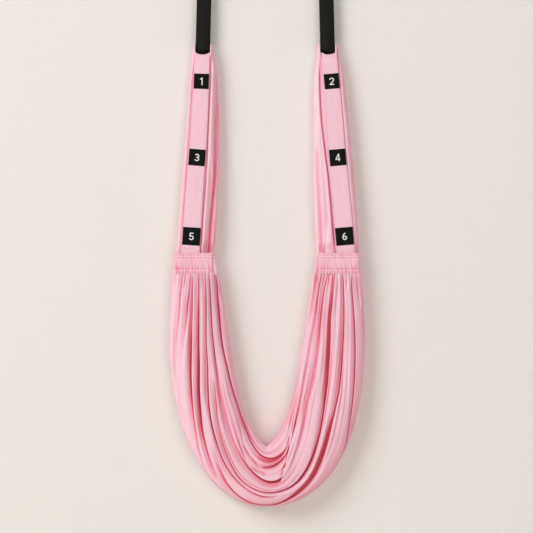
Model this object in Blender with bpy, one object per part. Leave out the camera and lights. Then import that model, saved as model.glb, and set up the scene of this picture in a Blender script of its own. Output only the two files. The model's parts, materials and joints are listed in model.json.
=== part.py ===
"""Aerial yoga hammock: a gathered cloth sling that hangs on two arms with numbered grip bands.

The top of each arm passes through a loop of black webbing, and each loop hangs on the base bar of
a steel screw-lock carabiner. Metres, +Z up, the front towards -Y. The origin lies midway between
the two places where the carabiners hang. "Outwards" on an arm is away from the middle of the object.
"""

import math

import bmesh
import bpy
import numpy as np
from mathutils import Matrix, Vector
from mathutils.geometry import interpolate_bezier

MM = 0.001

# Clearances
SEAT_GAP = 0.3 * MM
PIN_GAP = 0.15 * MM
STRAP_SIDE_GAP = 0.8 * MM
TURN_GAP = 2.3 * MM

# Where things hang
HANG_SPACING = 254 * MM
CROWN_SPACING = 260 * MM
STRAP_REACH = 120 * MM
ARM_DROP = 426 * MM
SLING_DROP = 487 * MM

# Carabiner, by the middle line of its bar
BAR_RADIUS = 5 * MM
FRAME_HEIGHT = 95 * MM
FRAME_WIDTH = 60 * MM
CORNER_RADIUS = 13 * MM
CROWN_ARC_RADIUS = 15 * MM
NOSE_LENGTH = 9.7 * MM
NOSE_RADIUS = 4.3 * MM
NOSE_KEY = 3.6 * MM
NOSE_KEY_THICK = 2.6 * MM
PIN_BELOW_CROWN = 9 * MM
PIN_RADIUS = 1.8 * MM
PIN_HEAD_RADIUS = 2.9 * MM
PIN_HEAD_THICK = 0.9 * MM
TONGUE_THICK = 4.0 * MM
GATE_RADIUS = 4.5 * MM
GATE_END_EXTRA = 0.2 * MM
SLEEVE_LENGTH = 22 * MM
SLEEVE_RADIUS = 6.4 * MM
SLEEVE_FLUTES = 12
FLUTE_DEPTH = 0.6 * MM

# Return spring and plunger, in a bore inside the gate
SPRING_BORE = 1.9 * MM
SPRING_BORE_DEPTH = 15 * MM
SPRING_WIRE = 0.6 * MM
SPRING_TURNS = 8
SPRING_LEAST_GAP = 0.4 * MM
PLUNGER_HEAD = 2.2 * MM
PLUNGER_STEM = 3.5 * MM
PLUNGER_STEM_RADIUS = 0.8 * MM

# Webbing loops
STRAP_WIDTH = 30 * MM
STRAP_THICK = 2.0 * MM
SPLICE_START = 0.22
SPLICE_END = 0.62
SPLICE_SLOPE = 0.004

# Crown of an arm: the bundle of cloth inside the webbing loop
CROWN_RADIUS = 10.6 * MM
CROWN_TAPER = 2.4 * MM
HORN_RADIUS = 11.2 * MM

# Arms
ARM_BACK = 17 * MM
FOLD_RISE = 4.5 * MM
BED_TOP = 11.4 * MM
BED_BOTTOM = 15 * MM
BED_NECK = 10.8 * MM
MOUTH_REACH = 13 * MM
BAND_TOP_WIDTH = 31 * MM
BAND_BOTTOM_WIDTH = 38.5 * MM
BAND_START = 17.5 * MM
BAND_HOLLOW = 3 * MM
BAND_THICK = 1.2 * MM
CORE_THICK = 1.5 * MM
CORE_START = 20 * MM
BAND_TUCK = 7 * MM
LABEL_THICK = 0.9 * MM
LABEL_MARGIN = 0.7 * MM
LABEL_DROP = 69.5 * MM
LABEL_ABOVE_CASING = 34 * MM
LABEL_MIDDLE_RISE = 2.75 * MM

# Casings, and the tape that holds the gathers inside them
CASING_HEIGHT = 43.5 * MM
CASING_WALL = 1.8 * MM
CASING_PUCKER = 0.9 * MM
CASING_HEM = 10 * MM
CASING_CORNER = 9 * MM
CASING_RETURN = 13 * MM
NECK_FRONT = 12.5 * MM
NECK_BACK = 15 * MM
TAPE_THICK = 1.2 * MM
TAPE_HEIGHT = 22 * MM

# Sling. Its lowest points lie a little to the right of the middle.
SLING_GAP_DROP = 361.5 * MM
SLING_SHIFT = 4 * MM
SLING_GAP_SHIFT = 3 * MM
SLING_HALF_DEPTHS = (15 * MM, 24 * MM, 27 * MM, 35 * MM)
SLING_DEPTH_PLACES = (0.0, 0.12, 0.5, 1.0)
FOLD_DEPTH = 12 * MM
SLING_STEPS = 34

# The two arms differ a little, as the cloth hangs. Offsets run outwards from the middle of the strap,
# and each row of an outline pairs a drop below the crown with an offset there. An edge of the sling
# starts beside the casing's bottom corner, off by its flare, and is a curve with two handles, each an
# offset and a share of the edge's drop below the casing.
LEFT_ARM = {
    "side": -1,
    "numbers": (1, 3, 5),
    "outer": ((-11, 19.5), (6, 22), (77, 28.5), (168, 35.4), (316, 47.8), (426, 55.5)),
    "inner": ((-11, 20.5), (6, 23.3), (42, 28), (112, 32.7), (200, 34.1), (306, 31.6), (426, 24.8)),
    "band": ((17, 1.0), (98, 3.8), (168, 7.3), (289, 16.3), (426, 25.4)),
    "casing_middle": 18.5 * MM,
    "casing_width": 85 * MM,
    "sling_outer": {"flare": 1 * MM, "handles": ((100 * MM, 0.668), (-8 * MM, 1.0))},
    "sling_inner": {"flare": -7 * MM, "handles": ((-64 * MM, 0.378), (-60 * MM, 0.848))},
}
RIGHT_ARM = {
    "side": 1,
    "numbers": (2, 4, 6),
    "outer": ((-11, 19.5), (2, 22.5), (42, 31.2), (112, 40.1), (202, 48.9), (324, 59.5), (426, 66)),
    "inner": ((-11, 20.0), (10, 22), (42, 26.2), (183, 29.7), (308, 28.9), (426, 23)),
    "band": ((17, 3.4), (98, 10.7), (202, 18.5), (358, 32.1), (426, 37.6)),
    "casing_middle": 24.5 * MM,
    "casing_width": 88 * MM,
    "sling_outer": {"flare": 1.5 * MM, "handles": ((106 * MM, 0.6745), (13 * MM, 1.0))},
    "sling_inner": {"flare": -11.5 * MM, "handles": ((-62 * MM, 0.582), (-70 * MM, 0.856))},
}

# Main folds of the sling. Each is a valley that runs from the left casing, round the bottom, to the
# right casing, given by how far across it lies (0 outer edge, 1 inner edge) at seven places.
FOLD_PLACES = (0.0, 0.35, 0.7, 1.0, 1.3, 1.65, 2.0)
FOLDS = (
    {"across": (0.12, 0.12, 0.07, 0.04, 0.09, 0.16, 0.20), "depth": (0.6, 0.5, 0.1, 0.0, 0.3, 0.8, 0.6)},
    {"across": (0.31, 0.36, 0.20, 0.10, 0.28, 0.36, 0.38), "depth": (0.7, 1.0, 0.9, 0.8, 1.0, 0.7, 0.6)},
    {"across": (0.50, 0.53, 0.32, 0.24, 0.42, 0.57, 0.60), "depth": (0.7, 0.9, 0.8, 0.7, 1.0, 1.0, 0.7)},
    {"across": (0.67, 0.69, 0.53, 0.40, 0.60, 0.72, 0.74), "depth": (0.7, 0.8, 0.8, 0.9, 0.3, 0.4, 0.6)},
    {"across": (0.82, 0.81, 0.72, 0.62, 0.76, 0.82, 0.85), "depth": (0.7, 0.6, 0.4, 0.8, 0.5, 0.3, 0.6)},
    {"across": (0.93, 0.92, 0.92, 0.83, 0.87, 0.92, 0.94), "depth": (0.6, 0.5, 0.6, 0.9, 0.8, 0.5, 0.5)},
)
BACK_FOLDS = (0.14, 0.34, 0.53, 0.71, 0.87)

CROWN_Z = BAR_RADIUS - FRAME_HEIGHT - STRAP_REACH
BASE_BAR_Z = BAR_RADIUS - FRAME_HEIGHT
CASING_TOP_Z = CROWN_Z - ARM_DROP
CASING_BOTTOM_Z = CASING_TOP_Z - CASING_HEIGHT
NECK_Z = (CASING_TOP_Z + CASING_BOTTOM_Z) / 2


# Materials


def make_material(name, colour, roughness, metallic=0.0):
    material = bpy.data.materials.new(name)
    material.use_nodes = True
    shader = material.node_tree.nodes["Principled BSDF"]
    shader.inputs["Base Color"].default_value = (*colour, 1.0)
    shader.inputs["Roughness"].default_value = roughness
    shader.inputs["Metallic"].default_value = metallic
    material.diffuse_color = (*colour, 1.0)
    return material


# Curves and shapes


def smooth_through(pairs, at, unit=1.0):
    """A smooth curve through a few (place, value) pairs, read at any places, held level past its ends."""
    places, values = np.array(pairs, float).T * unit
    slopes = np.gradient(values, places)
    at = np.clip(at, places[0], places[-1])
    left = np.clip(np.searchsorted(places, at, side="right") - 1, 0, len(places) - 2)
    span = places[left + 1] - places[left]
    part = (at - places[left]) / span
    rise = 3 * part**2 - 2 * part**3
    return (
        values[left] * (1 - rise)
        + values[left + 1] * rise
        + slopes[left] * span * (part - 2 * part**2 + part**3)
        + slopes[left + 1] * span * (part**3 - part**2)
    )


def ease(start, end, at):
    """A share that rises smoothly from 0 at one place to 1 at another."""
    part = min(max((at - start) / (end - start), 0), 1)
    return 3 * part**2 - 2 * part**3


def arc(centre, radius, start, end, steps):
    """Points on an arc in a plane, from one angle in degrees to another."""
    angles = np.radians(np.linspace(start, end, steps + 1))
    return [(centre[0] + radius * math.cos(a), centre[1] + radius * math.sin(a)) for a in angles]


def loft(rings, closed=False):
    """A closed skin over rings of equal length, capped at both ends unless the rings join up."""
    bm = bmesh.new()
    verts = [[bm.verts.new(tuple(map(float, p))) for p in ring] for ring in rings]
    count = len(verts[0])
    for low, high in zip(verts, verts[1:] + verts[:1] if closed else verts[1:]):
        for k in range(count):
            bm.faces.new((low[k], low[(k + 1) % count], high[(k + 1) % count], high[k]))
    if not closed:
        bm.faces.new(verts[0])
        bm.faces.new(verts[-1][::-1])
    return bm


def turned(profile, steps):
    """A solid of revolution about its own Z axis from (radius, height) pairs."""
    angles = np.linspace(0, 2 * math.pi, steps, endpoint=False)
    return loft([[(r * math.cos(a), r * math.sin(a), z) for a in angles] for r, z in profile])


def swept(points, radii, sides):
    """A round bar whose middle line follows points in the XZ plane."""
    points = np.array(points, float)
    along = np.gradient(points, axis=0)
    along /= np.linalg.norm(along, axis=1)[:, None]
    rings = []
    for (x, z), (tx, tz), radius in zip(points, along, radii):
        ring = []
        for angle in 2 * math.pi * np.arange(sides) / sides:
            reach = radius * math.cos(angle)
            ring.append((x - tz * reach, radius * math.sin(angle), z + tx * reach))
        rings.append(ring)
    return loft(rings)


def extruded(outline, low, high):
    """An outline in the XZ plane, extruded along Y."""
    return loft([[(x, y, z) for x, z in outline] for y in (low, high)])


def block(low, high):
    outline = ((low[0], low[2]), (high[0], low[2]), (high[0], high[2]), (low[0], high[2]))
    return extruded(outline, low[1], high[1])


def between(outer, inner):
    """A closed slab between two grids of points, each a list of rows."""
    return loft([list(a) + list(b)[::-1] for a, b in zip(outer, inner)])


# Objects


def add_axis(name, place):
    """An empty on a joint's axis, which carries the pieces that move about it."""
    axis = bpy.data.objects.new(name, None)
    axis.location = place
    axis.empty_display_size = 20 * MM
    bpy.context.collection.objects.link(axis)
    return axis


def add_piece(name, bm, material, axis=None, frame=None, sharp_deg=35):
    """Turn a bmesh in world space, or in the space of a frame, into a named object that its axis carries."""
    place = axis.location.copy() if axis else Vector()
    if frame:
        bmesh.ops.transform(bm, matrix=frame, verts=bm.verts)
    bmesh.ops.recalc_face_normals(bm, faces=bm.faces)
    bmesh.ops.translate(bm, verts=bm.verts, vec=-place)
    mesh = bpy.data.meshes.new(name)
    bm.to_mesh(mesh)
    bm.free()
    mesh.shade_smooth()
    mesh.set_sharp_from_angle(angle=math.radians(sharp_deg))
    mesh.materials.append(material)
    piece = bpy.data.objects.new(name, mesh)
    bpy.context.collection.objects.link(piece)
    piece.parent = axis
    return piece


def combine(piece, operation, name, bm, frame=None):
    """Cut a helper shape from a piece, or join it on. Returns the helper, which is not a piece itself."""
    helper = add_piece(name, bm, piece.data.materials[0], piece.parent, frame)
    helper.hide_render = True
    helper.display_type = "WIRE"
    modifier = piece.modifiers.new(name, "BOOLEAN")
    modifier.operation = operation
    modifier.solver = "EXACT"
    modifier.object = helper
    return helper


# Carabiner


def gate_side():
    """Ends, direction and outward normal of the straight side that holds the gate, in the frame's plane."""
    corner = Vector((FRAME_WIDTH / 2 - CORNER_RADIUS, CORNER_RADIUS))
    crown = Vector((0, FRAME_HEIGHT - CROWN_ARC_RADIUS))
    span = crown - corner
    lean = math.atan2(span.y, span.x) - math.acos((CORNER_RADIUS - CROWN_ARC_RADIUS) / span.length)
    outwards = Vector((math.cos(lean), math.sin(lean)))
    low = corner + CORNER_RADIUS * outwards
    high = crown + CROWN_ARC_RADIUS * outwards
    return low, high, (high - low).normalized(), outwards


def gate_frame(side):
    """Matrix of the gate's own space: X outwards, Z up along the gate, from the lower end of its side."""
    low, _, along, outwards = gate_side()
    x = side * (HANG_SPACING / 2 + low.x)
    return Matrix(
        (
            (side * outwards.x, 0, side * along.x, x),
            (0, 1, 0, 0),
            (outwards.y, 0, along.y, BASE_BAR_Z + low.y),
            (0, 0, 0, 1),
        )
    )


def pin_height():
    """How far up the gate's side its pin lies."""
    low, high, _, _ = gate_side()
    return (high - low).length - PIN_BELOW_CROWN


def fork_floor(height):
    """How far up the gate the floor of its fork lies, just clear of the tongue's round end."""
    return height - GATE_RADIUS - SEAT_GAP


def add_carabiner_body(name, side, steel, height):
    """The bent bar, with a key on its nose and a flat tongue for the hinge."""
    low, high, along, outwards = gate_side()
    lean = math.degrees(math.atan2(outwards.y, outwards.x))
    corner_x, corner_z = FRAME_WIDTH / 2 - CORNER_RADIUS, CORNER_RADIUS
    crown = (0, FRAME_HEIGHT - CROWN_ARC_RADIUS)
    shoulder = height + GATE_RADIUS + GATE_END_EXTRA + 2 * SEAT_GAP
    path = [tuple(low + along * shoulder)]
    path += arc(crown, CROWN_ARC_RADIUS, lean, 180 - lean, 10)
    path += arc((-corner_x, corner_z), CORNER_RADIUS, 180 - lean, 270, 5)
    path += arc((corner_x, corner_z), CORNER_RADIUS, -90, lean, 5)
    radii = [BAR_RADIUS] * len(path)
    for place, radius in ((1 * MM, BAR_RADIUS), (2.5 * MM, NOSE_RADIUS), (NOSE_LENGTH, NOSE_RADIUS)):
        path.append(tuple(low + along * place))
        radii.append(radius)
    path = [(side * (HANG_SPACING / 2 + x), BASE_BAR_Z + z) for x, z in path]
    body = add_piece(name, swept(path, radii, 12), steel)

    frame = gate_frame(side)
    tongue = [(GATE_RADIUS, shoulder + 1.5 * MM), (-GATE_RADIUS, shoulder + 1.5 * MM)]
    tongue += arc((0, height), GATE_RADIUS, 180, 360, 10)
    combine(body, "UNION", name + "_tongue", extruded(tongue, -TONGUE_THICK / 2, TONGUE_THICK / 2), frame)
    key_width = NOSE_RADIUS * 0.85
    key = block(
        (-key_width, -NOSE_KEY_THICK / 2, NOSE_LENGTH - 1 * MM),
        (key_width, NOSE_KEY_THICK / 2, NOSE_LENGTH + NOSE_KEY),
    )
    combine(body, "UNION", name + "_nose_key", key, frame)
    hole = pin_cylinder(PIN_RADIUS + PIN_GAP, BAR_RADIUS * 2, height)
    combine(body, "DIFFERENCE", name + "_pin_hole", hole, frame)
    return body


def pin_cylinder(radius, half_length, height):
    """A cylinder along the hinge, in the gate's space."""
    outline = arc((0, height), radius, 0, 360, 16)[:-1]
    return extruded(outline, -half_length, half_length)


def add_gate(name, side, steel, height, axis):
    """A round gate, forked over the tongue at the top and slotted over the nose key at the bottom."""
    frame = gate_frame(side)
    bottom = NOSE_LENGTH + 2 * SEAT_GAP
    chamfer = 0.6 * MM
    end_radius = GATE_RADIUS + GATE_END_EXTRA
    profile = (
        (GATE_RADIUS - chamfer, bottom),
        (GATE_RADIUS, bottom + chamfer),
        (GATE_RADIUS, height + 2 * GATE_RADIUS),
    )
    gate = add_piece(name, turned(profile, 20), steel, axis, frame)
    reach = 4 * GATE_RADIUS
    round_end = [(reach, height)] + arc((0, height), end_radius, 0, 180, 10)
    round_end += [(-reach, height), (-reach, height + reach), (reach, height + reach)]
    combine(gate, "DIFFERENCE", name + "_round_end", extruded(round_end, -reach, reach), frame)
    fork_half = TONGUE_THICK / 2 + SEAT_GAP
    fork = block((-reach, -fork_half, fork_floor(height)), (reach, fork_half, height + reach))
    combine(gate, "DIFFERENCE", name + "_fork", fork, frame)
    floor = fork_floor(height)
    bore = turned([(SPRING_BORE, floor - SPRING_BORE_DEPTH), (SPRING_BORE, floor + SPRING_BORE)], 16)
    combine(gate, "DIFFERENCE", name + "_spring_bore", bore, frame)
    slot_half = NOSE_KEY_THICK / 2 + SEAT_GAP
    slot = block((-reach, -slot_half, 0), (reach, slot_half, NOSE_LENGTH + NOSE_KEY + 2 * SEAT_GAP))
    combine(gate, "DIFFERENCE", name + "_nose_slot", slot, frame)
    hole = pin_cylinder(PIN_RADIUS + PIN_GAP, reach, height)
    combine(gate, "DIFFERENCE", name + "_pin_hole", hole, frame)
    return gate


def coil(radius, wire, low, high, turns):
    """An open helical spring about its own Z axis, and the least gap between its turns."""
    steps, sides = 10 * turns, 6
    rise = (high - low) / (2 * math.pi * turns)
    middles, rings = [], []
    for angle in np.linspace(0, 2 * math.pi * turns, steps + 1):
        outwards = np.array((math.cos(angle), math.sin(angle), 0))
        along = np.array((-radius * math.sin(angle), radius * math.cos(angle), rise))
        upwards = np.cross(outwards, along / np.linalg.norm(along))
        middle = radius * outwards + (0, 0, low + rise * angle)
        middles.append(middle)
        rings.append([
            middle + wire / 2 * (math.cos(a) * outwards + math.sin(a) * upwards)
            for a in 2 * math.pi * np.arange(sides) / sides
        ])
    middles = np.array(middles)
    first, second = np.triu_indices(len(middles), steps // turns // 2)
    gap = np.linalg.norm(middles[first] - middles[second], axis=1).min() - wire
    return loft(rings), gap


def add_gate_spring(name, side, steel, height, axis):
    """The spring at the bottom of the gate's bore, and the plunger that it presses against the tongue."""
    frame = gate_frame(side)
    top = fork_floor(height)
    head = top - PLUNGER_HEAD
    head_radius = SPRING_BORE - PIN_GAP
    low = top - SPRING_BORE_DEPTH + SEAT_GAP + SPRING_WIRE / 2
    high = head - SEAT_GAP - SPRING_WIRE / 2
    spring, gap = coil(head_radius - SPRING_WIRE / 2, SPRING_WIRE, low, high, SPRING_TURNS)
    print(f"{name}: least gap between its turns {gap / MM:.2f} mm, wanted over {SPRING_LEAST_GAP / MM:.2f} mm")
    add_piece(name, spring, steel, axis, frame, sharp_deg=80)
    profile = (
        (PLUNGER_STEM_RADIUS * 0.6, head - PLUNGER_STEM),
        (PLUNGER_STEM_RADIUS, head - PLUNGER_STEM + PLUNGER_STEM_RADIUS * 0.5),
        (PLUNGER_STEM_RADIUS, head),
        (head_radius, head),
        (head_radius, top - 0.5 * MM),
        (head_radius * 0.7, top),
    )
    add_piece(name.replace("spring", "plunger"), turned(profile, 14), steel, axis, frame)


def add_gate_pin(name, side, steel, height):
    """A rivet through the fork and the tongue, with a low domed head at each end."""
    reach = GATE_RADIUS + SEAT_GAP
    profile = (
        (PIN_HEAD_RADIUS * 0.6, -reach - PIN_HEAD_THICK),
        (PIN_HEAD_RADIUS, -reach - PIN_HEAD_THICK * 0.4),
        (PIN_HEAD_RADIUS, -reach),
        (PIN_RADIUS, -reach),
        (PIN_RADIUS, reach),
        (PIN_HEAD_RADIUS, reach),
        (PIN_HEAD_RADIUS, reach + PIN_HEAD_THICK * 0.4),
        (PIN_HEAD_RADIUS * 0.6, reach + PIN_HEAD_THICK),
    )
    lay_down = Matrix.Translation((0, 0, height)) @ Matrix.Rotation(math.radians(-90), 4, "X")
    return add_piece(name, turned(profile, 16), steel, frame=gate_frame(side) @ lay_down)


def add_lock_sleeve(name, side, steel, axis):
    """A fluted screw sleeve round the gate, drawn here in its open place, clear of the nose."""
    bottom = NOSE_LENGTH + NOSE_KEY + 1.5 * MM
    rounding = 1.2 * MM
    bore = GATE_RADIUS + SEAT_GAP
    heights = (0, rounding, rounding * 2)
    heights += tuple(SLEEVE_LENGTH - rise for rise in heights[::-1])
    radii = (SLEEVE_RADIUS - rounding, SLEEVE_RADIUS - rounding * 0.2, SLEEVE_RADIUS)
    angles = np.linspace(0, 2 * math.pi, 2 * SLEEVE_FLUTES, endpoint=False)
    rings = []
    for rise, radius in zip(heights, radii + radii[::-1]):
        depth = FLUTE_DEPTH if radius == SLEEVE_RADIUS else 0
        outside = [radius - depth * (k % 2) for k in range(len(angles))]
        rings.append([(r * math.cos(a), r * math.sin(a), bottom + rise) for r, a in zip(outside, angles)])
    for rise in (SLEEVE_LENGTH, 0):
        rings.append([(bore * math.cos(a), bore * math.sin(a), bottom + rise) for a in angles])
    return add_piece(name, loft(rings, closed=True), steel, axis, gate_frame(side), sharp_deg=25)


# Webbing loop


def crown_radius(across):
    """Radius of the cloth bundle inside the loop, at a share of the strap's half width from its middle."""
    return CROWN_RADIUS - CROWN_TAPER * across**2


def strap_middle(z):
    """Distance of a loop's middle from the object's middle: the loops draw together upwards."""
    part = (BASE_BAR_Z - z) / STRAP_REACH
    return (HANG_SPACING + (CROWN_SPACING - HANG_SPACING) * part) / 2


def strap_section(side, across, layer):
    """One lengthwise line of the loop: under the crown, up the back, over the bar and down the front."""
    low_radius = crown_radius(across) + SEAT_GAP + layer * STRAP_THICK
    high_radius = BAR_RADIUS + SEAT_GAP + layer * STRAP_THICK
    lean = math.degrees(math.asin((low_radius - high_radius) / STRAP_REACH))
    under = [(low_radius, CROWN_Z, a) for a in np.linspace(-lean, 180 + lean, 13)]
    over = [(high_radius, BASE_BAR_Z, a) for a in np.linspace(180 + lean, 360 - lean, 9)]

    def place(radius, middle, angle):
        angle = math.radians(angle)
        return np.array((-radius * math.cos(angle), middle - radius * math.sin(angle)))

    line = [place(*row) for row in under]
    foot, head = line[-1], place(*over[0])
    splice = STRAP_THICK * layer * (head - foot)[[1, 0]] * (1, -1) / np.linalg.norm(head - foot)
    lap = ((SPLICE_START, 1), (SPLICE_END, 1))
    for part, lift in ((SPLICE_START - SPLICE_SLOPE, 0), *lap, (SPLICE_END + SPLICE_SLOPE, 0)):
        line.append(foot + (head - foot) * part + splice * lift)
    line += [place(*row) for row in over]
    points = []
    for y, z in line:
        points.append((side * strap_middle(z) + across * STRAP_WIDTH / 2, y, z))
    return points


def add_strap(name, side, webbing, axis):
    """Flat webbing sewn into a loop, its ends lapped one over the other on the back run."""
    shares = np.linspace(-1, 1, 7)
    outer = [strap_section(side, u, 1) for u in shares]
    inner = [strap_section(side, u, 0) for u in shares]
    rings = [[line[k] for line in outer] + [line[k] for line in inner[::-1]] for k in range(len(outer[0]))]
    return add_piece(name, loft(rings, closed=True), webbing, axis)


# Arms


def bed_depth(drop):
    """How far forward the flat bed under the grip band lies. It draws in to enter the casing."""
    straight = BED_TOP + (BED_BOTTOM - BED_TOP) * drop / ARM_DROP
    return straight + (BED_NECK - straight) * ease(ARM_DROP - MOUTH_REACH, ARM_DROP - SEAT_GAP, drop)


def arm_drops():
    """Where the rings of an arm lie, down from the opening for the webbing to inside the casing."""
    down = list(np.linspace(CROWN_RADIUS + 9 * MM, ARM_DROP - 2 * MOUTH_REACH, 11))
    mouth = [ARM_DROP - MOUTH_REACH * share for share in (1, 0.66, 0.33)]
    return down + mouth + [ARM_DROP, ARM_DROP + CASING_HEIGHT / 2 - SEAT_GAP / 2]


def band_width(drop):
    return BAND_TOP_WIDTH + (BAND_BOTTOM_WIDTH - BAND_TOP_WIDTH) * drop / ARM_DROP


def band_middle(arm, drop):
    return float(smooth_through(arm["band"], drop, MM))


def on_arm(arm, drop, offset, y):
    """A point at a drop below the crown and an offset outwards from the middle of the strap."""
    return (arm["side"] * (CROWN_SPACING / 2 + offset), y, CROWN_Z - drop)


def casing_edges(arm, inset):
    """Outer and inner offsets of a casing, drawn in by an inset."""
    half = arm["casing_width"] / 2 - inset
    return arm["casing_middle"] + half, arm["casing_middle"] - half


def arm_section(arm, drop):
    """One ring of the arm: a fold, the flat bed of the band, two folds, and four folds behind."""
    neck = ease(ARM_DROP - 2 * MOUTH_REACH, ARM_DROP - SEAT_GAP, drop)
    folds = ease(12 * MM, 62 * MM, drop)
    outer = float(smooth_through(arm["outer"], drop, MM))
    inner = -float(smooth_through(arm["inner"], drop, MM))
    neck_outer, neck_inner = casing_edges(arm, CASING_WALL + CASING_PUCKER + 2 * SEAT_GAP)
    outer += (neck_outer - outer) * neck
    inner += (neck_inner - inner) * neck
    half = band_width(drop) / 2 + 2 * SEAT_GAP
    middle = band_middle(arm, drop)
    bed_out = min(middle + half, outer - 4 * MM)
    bed_in = max(middle - half, inner + 4 * MM)
    if drop < HORN_RADIUS:
        front = back = math.sqrt(max(HORN_RADIUS**2 - min(drop, 0) ** 2, (1 * MM) ** 2))
        crest = bed = front
    else:
        bed = bed_depth(drop)
        crest = bed + FOLD_RISE * folds
        back = HORN_RADIUS + (ARM_BACK - HORN_RADIUS) * min(drop / (100 * MM), 1)
    crest += (NECK_FRONT - crest) * neck
    back += (NECK_BACK - back) * neck
    dip = 3.5 * MM * folds * (1 - 0.5 * neck)
    rim_out, rim_in = outer - bed_out, bed_in - inner
    front_line = (
        (outer, -0.15 * crest),
        (outer - 0.22 * rim_out, -0.8 * crest),
        (outer - 0.55 * rim_out, -crest),
        (bed_out, -bed),
        (bed_in, -bed),
        (bed_in - 0.25 * rim_in, -crest),
        (bed_in - 0.52 * rim_in, -crest + dip),
        (bed_in - 0.75 * rim_in, -crest + 0.4 * dip),
        (inner + 0.08 * rim_in, -0.6 * crest),
        (inner, -0.1 * crest),
    )
    width = outer - inner
    back_line = [(inner + 0.05 * width, 0.6 * back)]
    for k, share in enumerate(np.linspace(0.16, 0.84, 7)):
        back_line.append((inner + share * width, back - dip * (k % 2)))
    back_line.append((inner + 0.95 * width, 0.6 * back))
    return [on_arm(arm, drop, offset, y) for offset, y in (*front_line, *back_line)]


def add_arm_cloth(name, arm, cloth, axis):
    """The gathered cloth of one arm, with the opening at its top that the webbing passes through."""
    top = [-HORN_RADIUS * share for share in (0.975, 0.89, 0.7, 0.4, 0)] + [HORN_RADIUS * 1.05]
    rings = [arm_section(arm, drop) for drop in (*top, *arm_drops())]
    cloth_piece = add_piece(name, loft(rings), cloth, axis, sharp_deg=60)

    half = STRAP_WIDTH / 2 + STRAP_SIDE_GAP
    clear = CROWN_RADIUS + SEAT_GAP + STRAP_THICK + TURN_GAP
    reach = 2 * HORN_RADIUS
    outline = [(-reach, CROWN_Z), (-reach, CROWN_Z + reach), (reach, CROWN_Z + reach), (reach, CROWN_Z)]
    outline += arc((0, CROWN_Z), clear, 0, -180, 16)
    middle = arm["side"] * CROWN_SPACING / 2
    opening = loft([[(middle + x, y, z) for y, z in outline] for x in (-half, half)])
    cutter = combine(cloth_piece, "DIFFERENCE", name + "_strap_opening", opening)
    shares = np.linspace(-1.1, 1.1, 9)
    barrel = turned([(crown_radius(u), u * STRAP_WIDTH / 2) for u in shares], 20)
    lay = Matrix.Translation((middle, 0, CROWN_Z)) @ Matrix.Rotation(math.radians(90), 4, "Y")
    combine(cutter, "DIFFERENCE", name + "_crown", barrel, lay)
    return cloth_piece


def strip(arm, drops, half_width, back, front, hollow=0.0):
    """A flat strip down the arm, as deep as front less back, its top edge hollowed by an arc."""
    shares = (-1, -0.6, -0.2, 0.2, 0.6, 1)
    rows = []
    for y in (front, back):
        grid = []
        for k, drop in enumerate(drops):
            row = []
            for u in shares:
                here = drop - (hollow * u**2 if k == 0 else 0)
                offset = band_middle(arm, here) + u * half_width(here)
                row.append(on_arm(arm, here, offset, -(bed_depth(here) + y)))
            grid.append(row)
        rows.append(grid)
    return between(*rows)


def add_band(name, arm, cloth, webbing, axis):
    """The stiff webbing on the arm's bed, and the cloth band with turned-down edges that covers it."""
    below = [drop for drop in arm_drops()[:-1] if drop > CORE_START] + [ARM_DROP + BAND_TUCK]
    drops = [BAND_START, *below]
    core_drops = [CORE_START, *below]
    back = SEAT_GAP
    front = back + CORE_THICK
    core = strip(arm, core_drops, lambda d: band_width(d) / 2 - BAND_THICK - SEAT_GAP, back, front)
    add_piece(name + "_core", core, webbing, axis)
    low, high = front + SEAT_GAP, front + SEAT_GAP + BAND_THICK
    cover = strip(arm, drops, lambda d: band_width(d) / 2, low, high, BAND_HOLLOW)
    return add_piece(name, cover, cloth, axis), high


def label_drops():
    """Where the three labels of an arm lie: near the crown, a little above halfway, and near the casing."""
    first, last = LABEL_DROP, ARM_DROP - LABEL_ABOVE_CASING
    return first, (first + last) / 2 - LABEL_MIDDLE_RISE, last


def add_label(name, arm, drop, face, black, axis):
    """A square label sewn on the band, turned with it."""
    side = arm["side"]
    step = 5 * MM
    here = Vector(on_arm(arm, drop, band_middle(arm, drop), -(bed_depth(drop) + face)))
    below_drop = drop + step
    below = Vector(on_arm(arm, below_drop, band_middle(arm, below_drop), -(bed_depth(below_drop) + face)))
    up = (here - below).normalized()
    out = Vector((0, -1, 0))
    across = up.cross(out).normalized()
    out = across.cross(up) if across.cross(up).y < 0 else up.cross(across)
    half = band_width(drop) / 2 - LABEL_MARGIN
    corner = 1.2 * MM
    outline = []
    for cx, cz, start in ((1, 1, 0), (-1, 1, 90), (-1, -1, 180), (1, -1, 270)):
        outline += arc((cx * (half - corner), cz * (half * 0.96 - corner)), corner, start, start + 90, 2)
    bm = extruded(outline, SEAT_GAP, SEAT_GAP + LABEL_THICK)
    frame = Matrix.Identity(4)
    for column, axis_vector in enumerate((across * side, out, up)):
        frame.col[column] = (*axis_vector, 0)
    frame.col[3] = (*here, 1)
    return add_piece(name, bm, black, axis, frame)


# Casings


def casing_plan(arm, inset, count):
    """Points round the front of a casing, from the inner return to the outer one, as (offset, y, share)."""
    outer, inner = casing_edges(arm, inset)
    corner = CASING_CORNER - inset
    front = -(NECK_FRONT + TAPE_THICK + CASING_WALL + CASING_PUCKER + 3 * SEAT_GAP) + inset
    line = [(inner, front + CASING_RETURN)]
    line += arc((inner + corner, front + corner), corner, 180, 270, 4)
    line += arc((outer - corner, front + corner), corner, 270, 360, 4)
    line.append((outer, front + CASING_RETURN))
    line = np.array(line)
    length = np.concatenate([[0], np.cumsum(np.linalg.norm(np.diff(line, axis=0), axis=1))])
    at = np.linspace(0, length[-1], count)
    return np.stack([np.interp(at, length, line[:, k]) for k in range(2)], axis=1)


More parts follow.
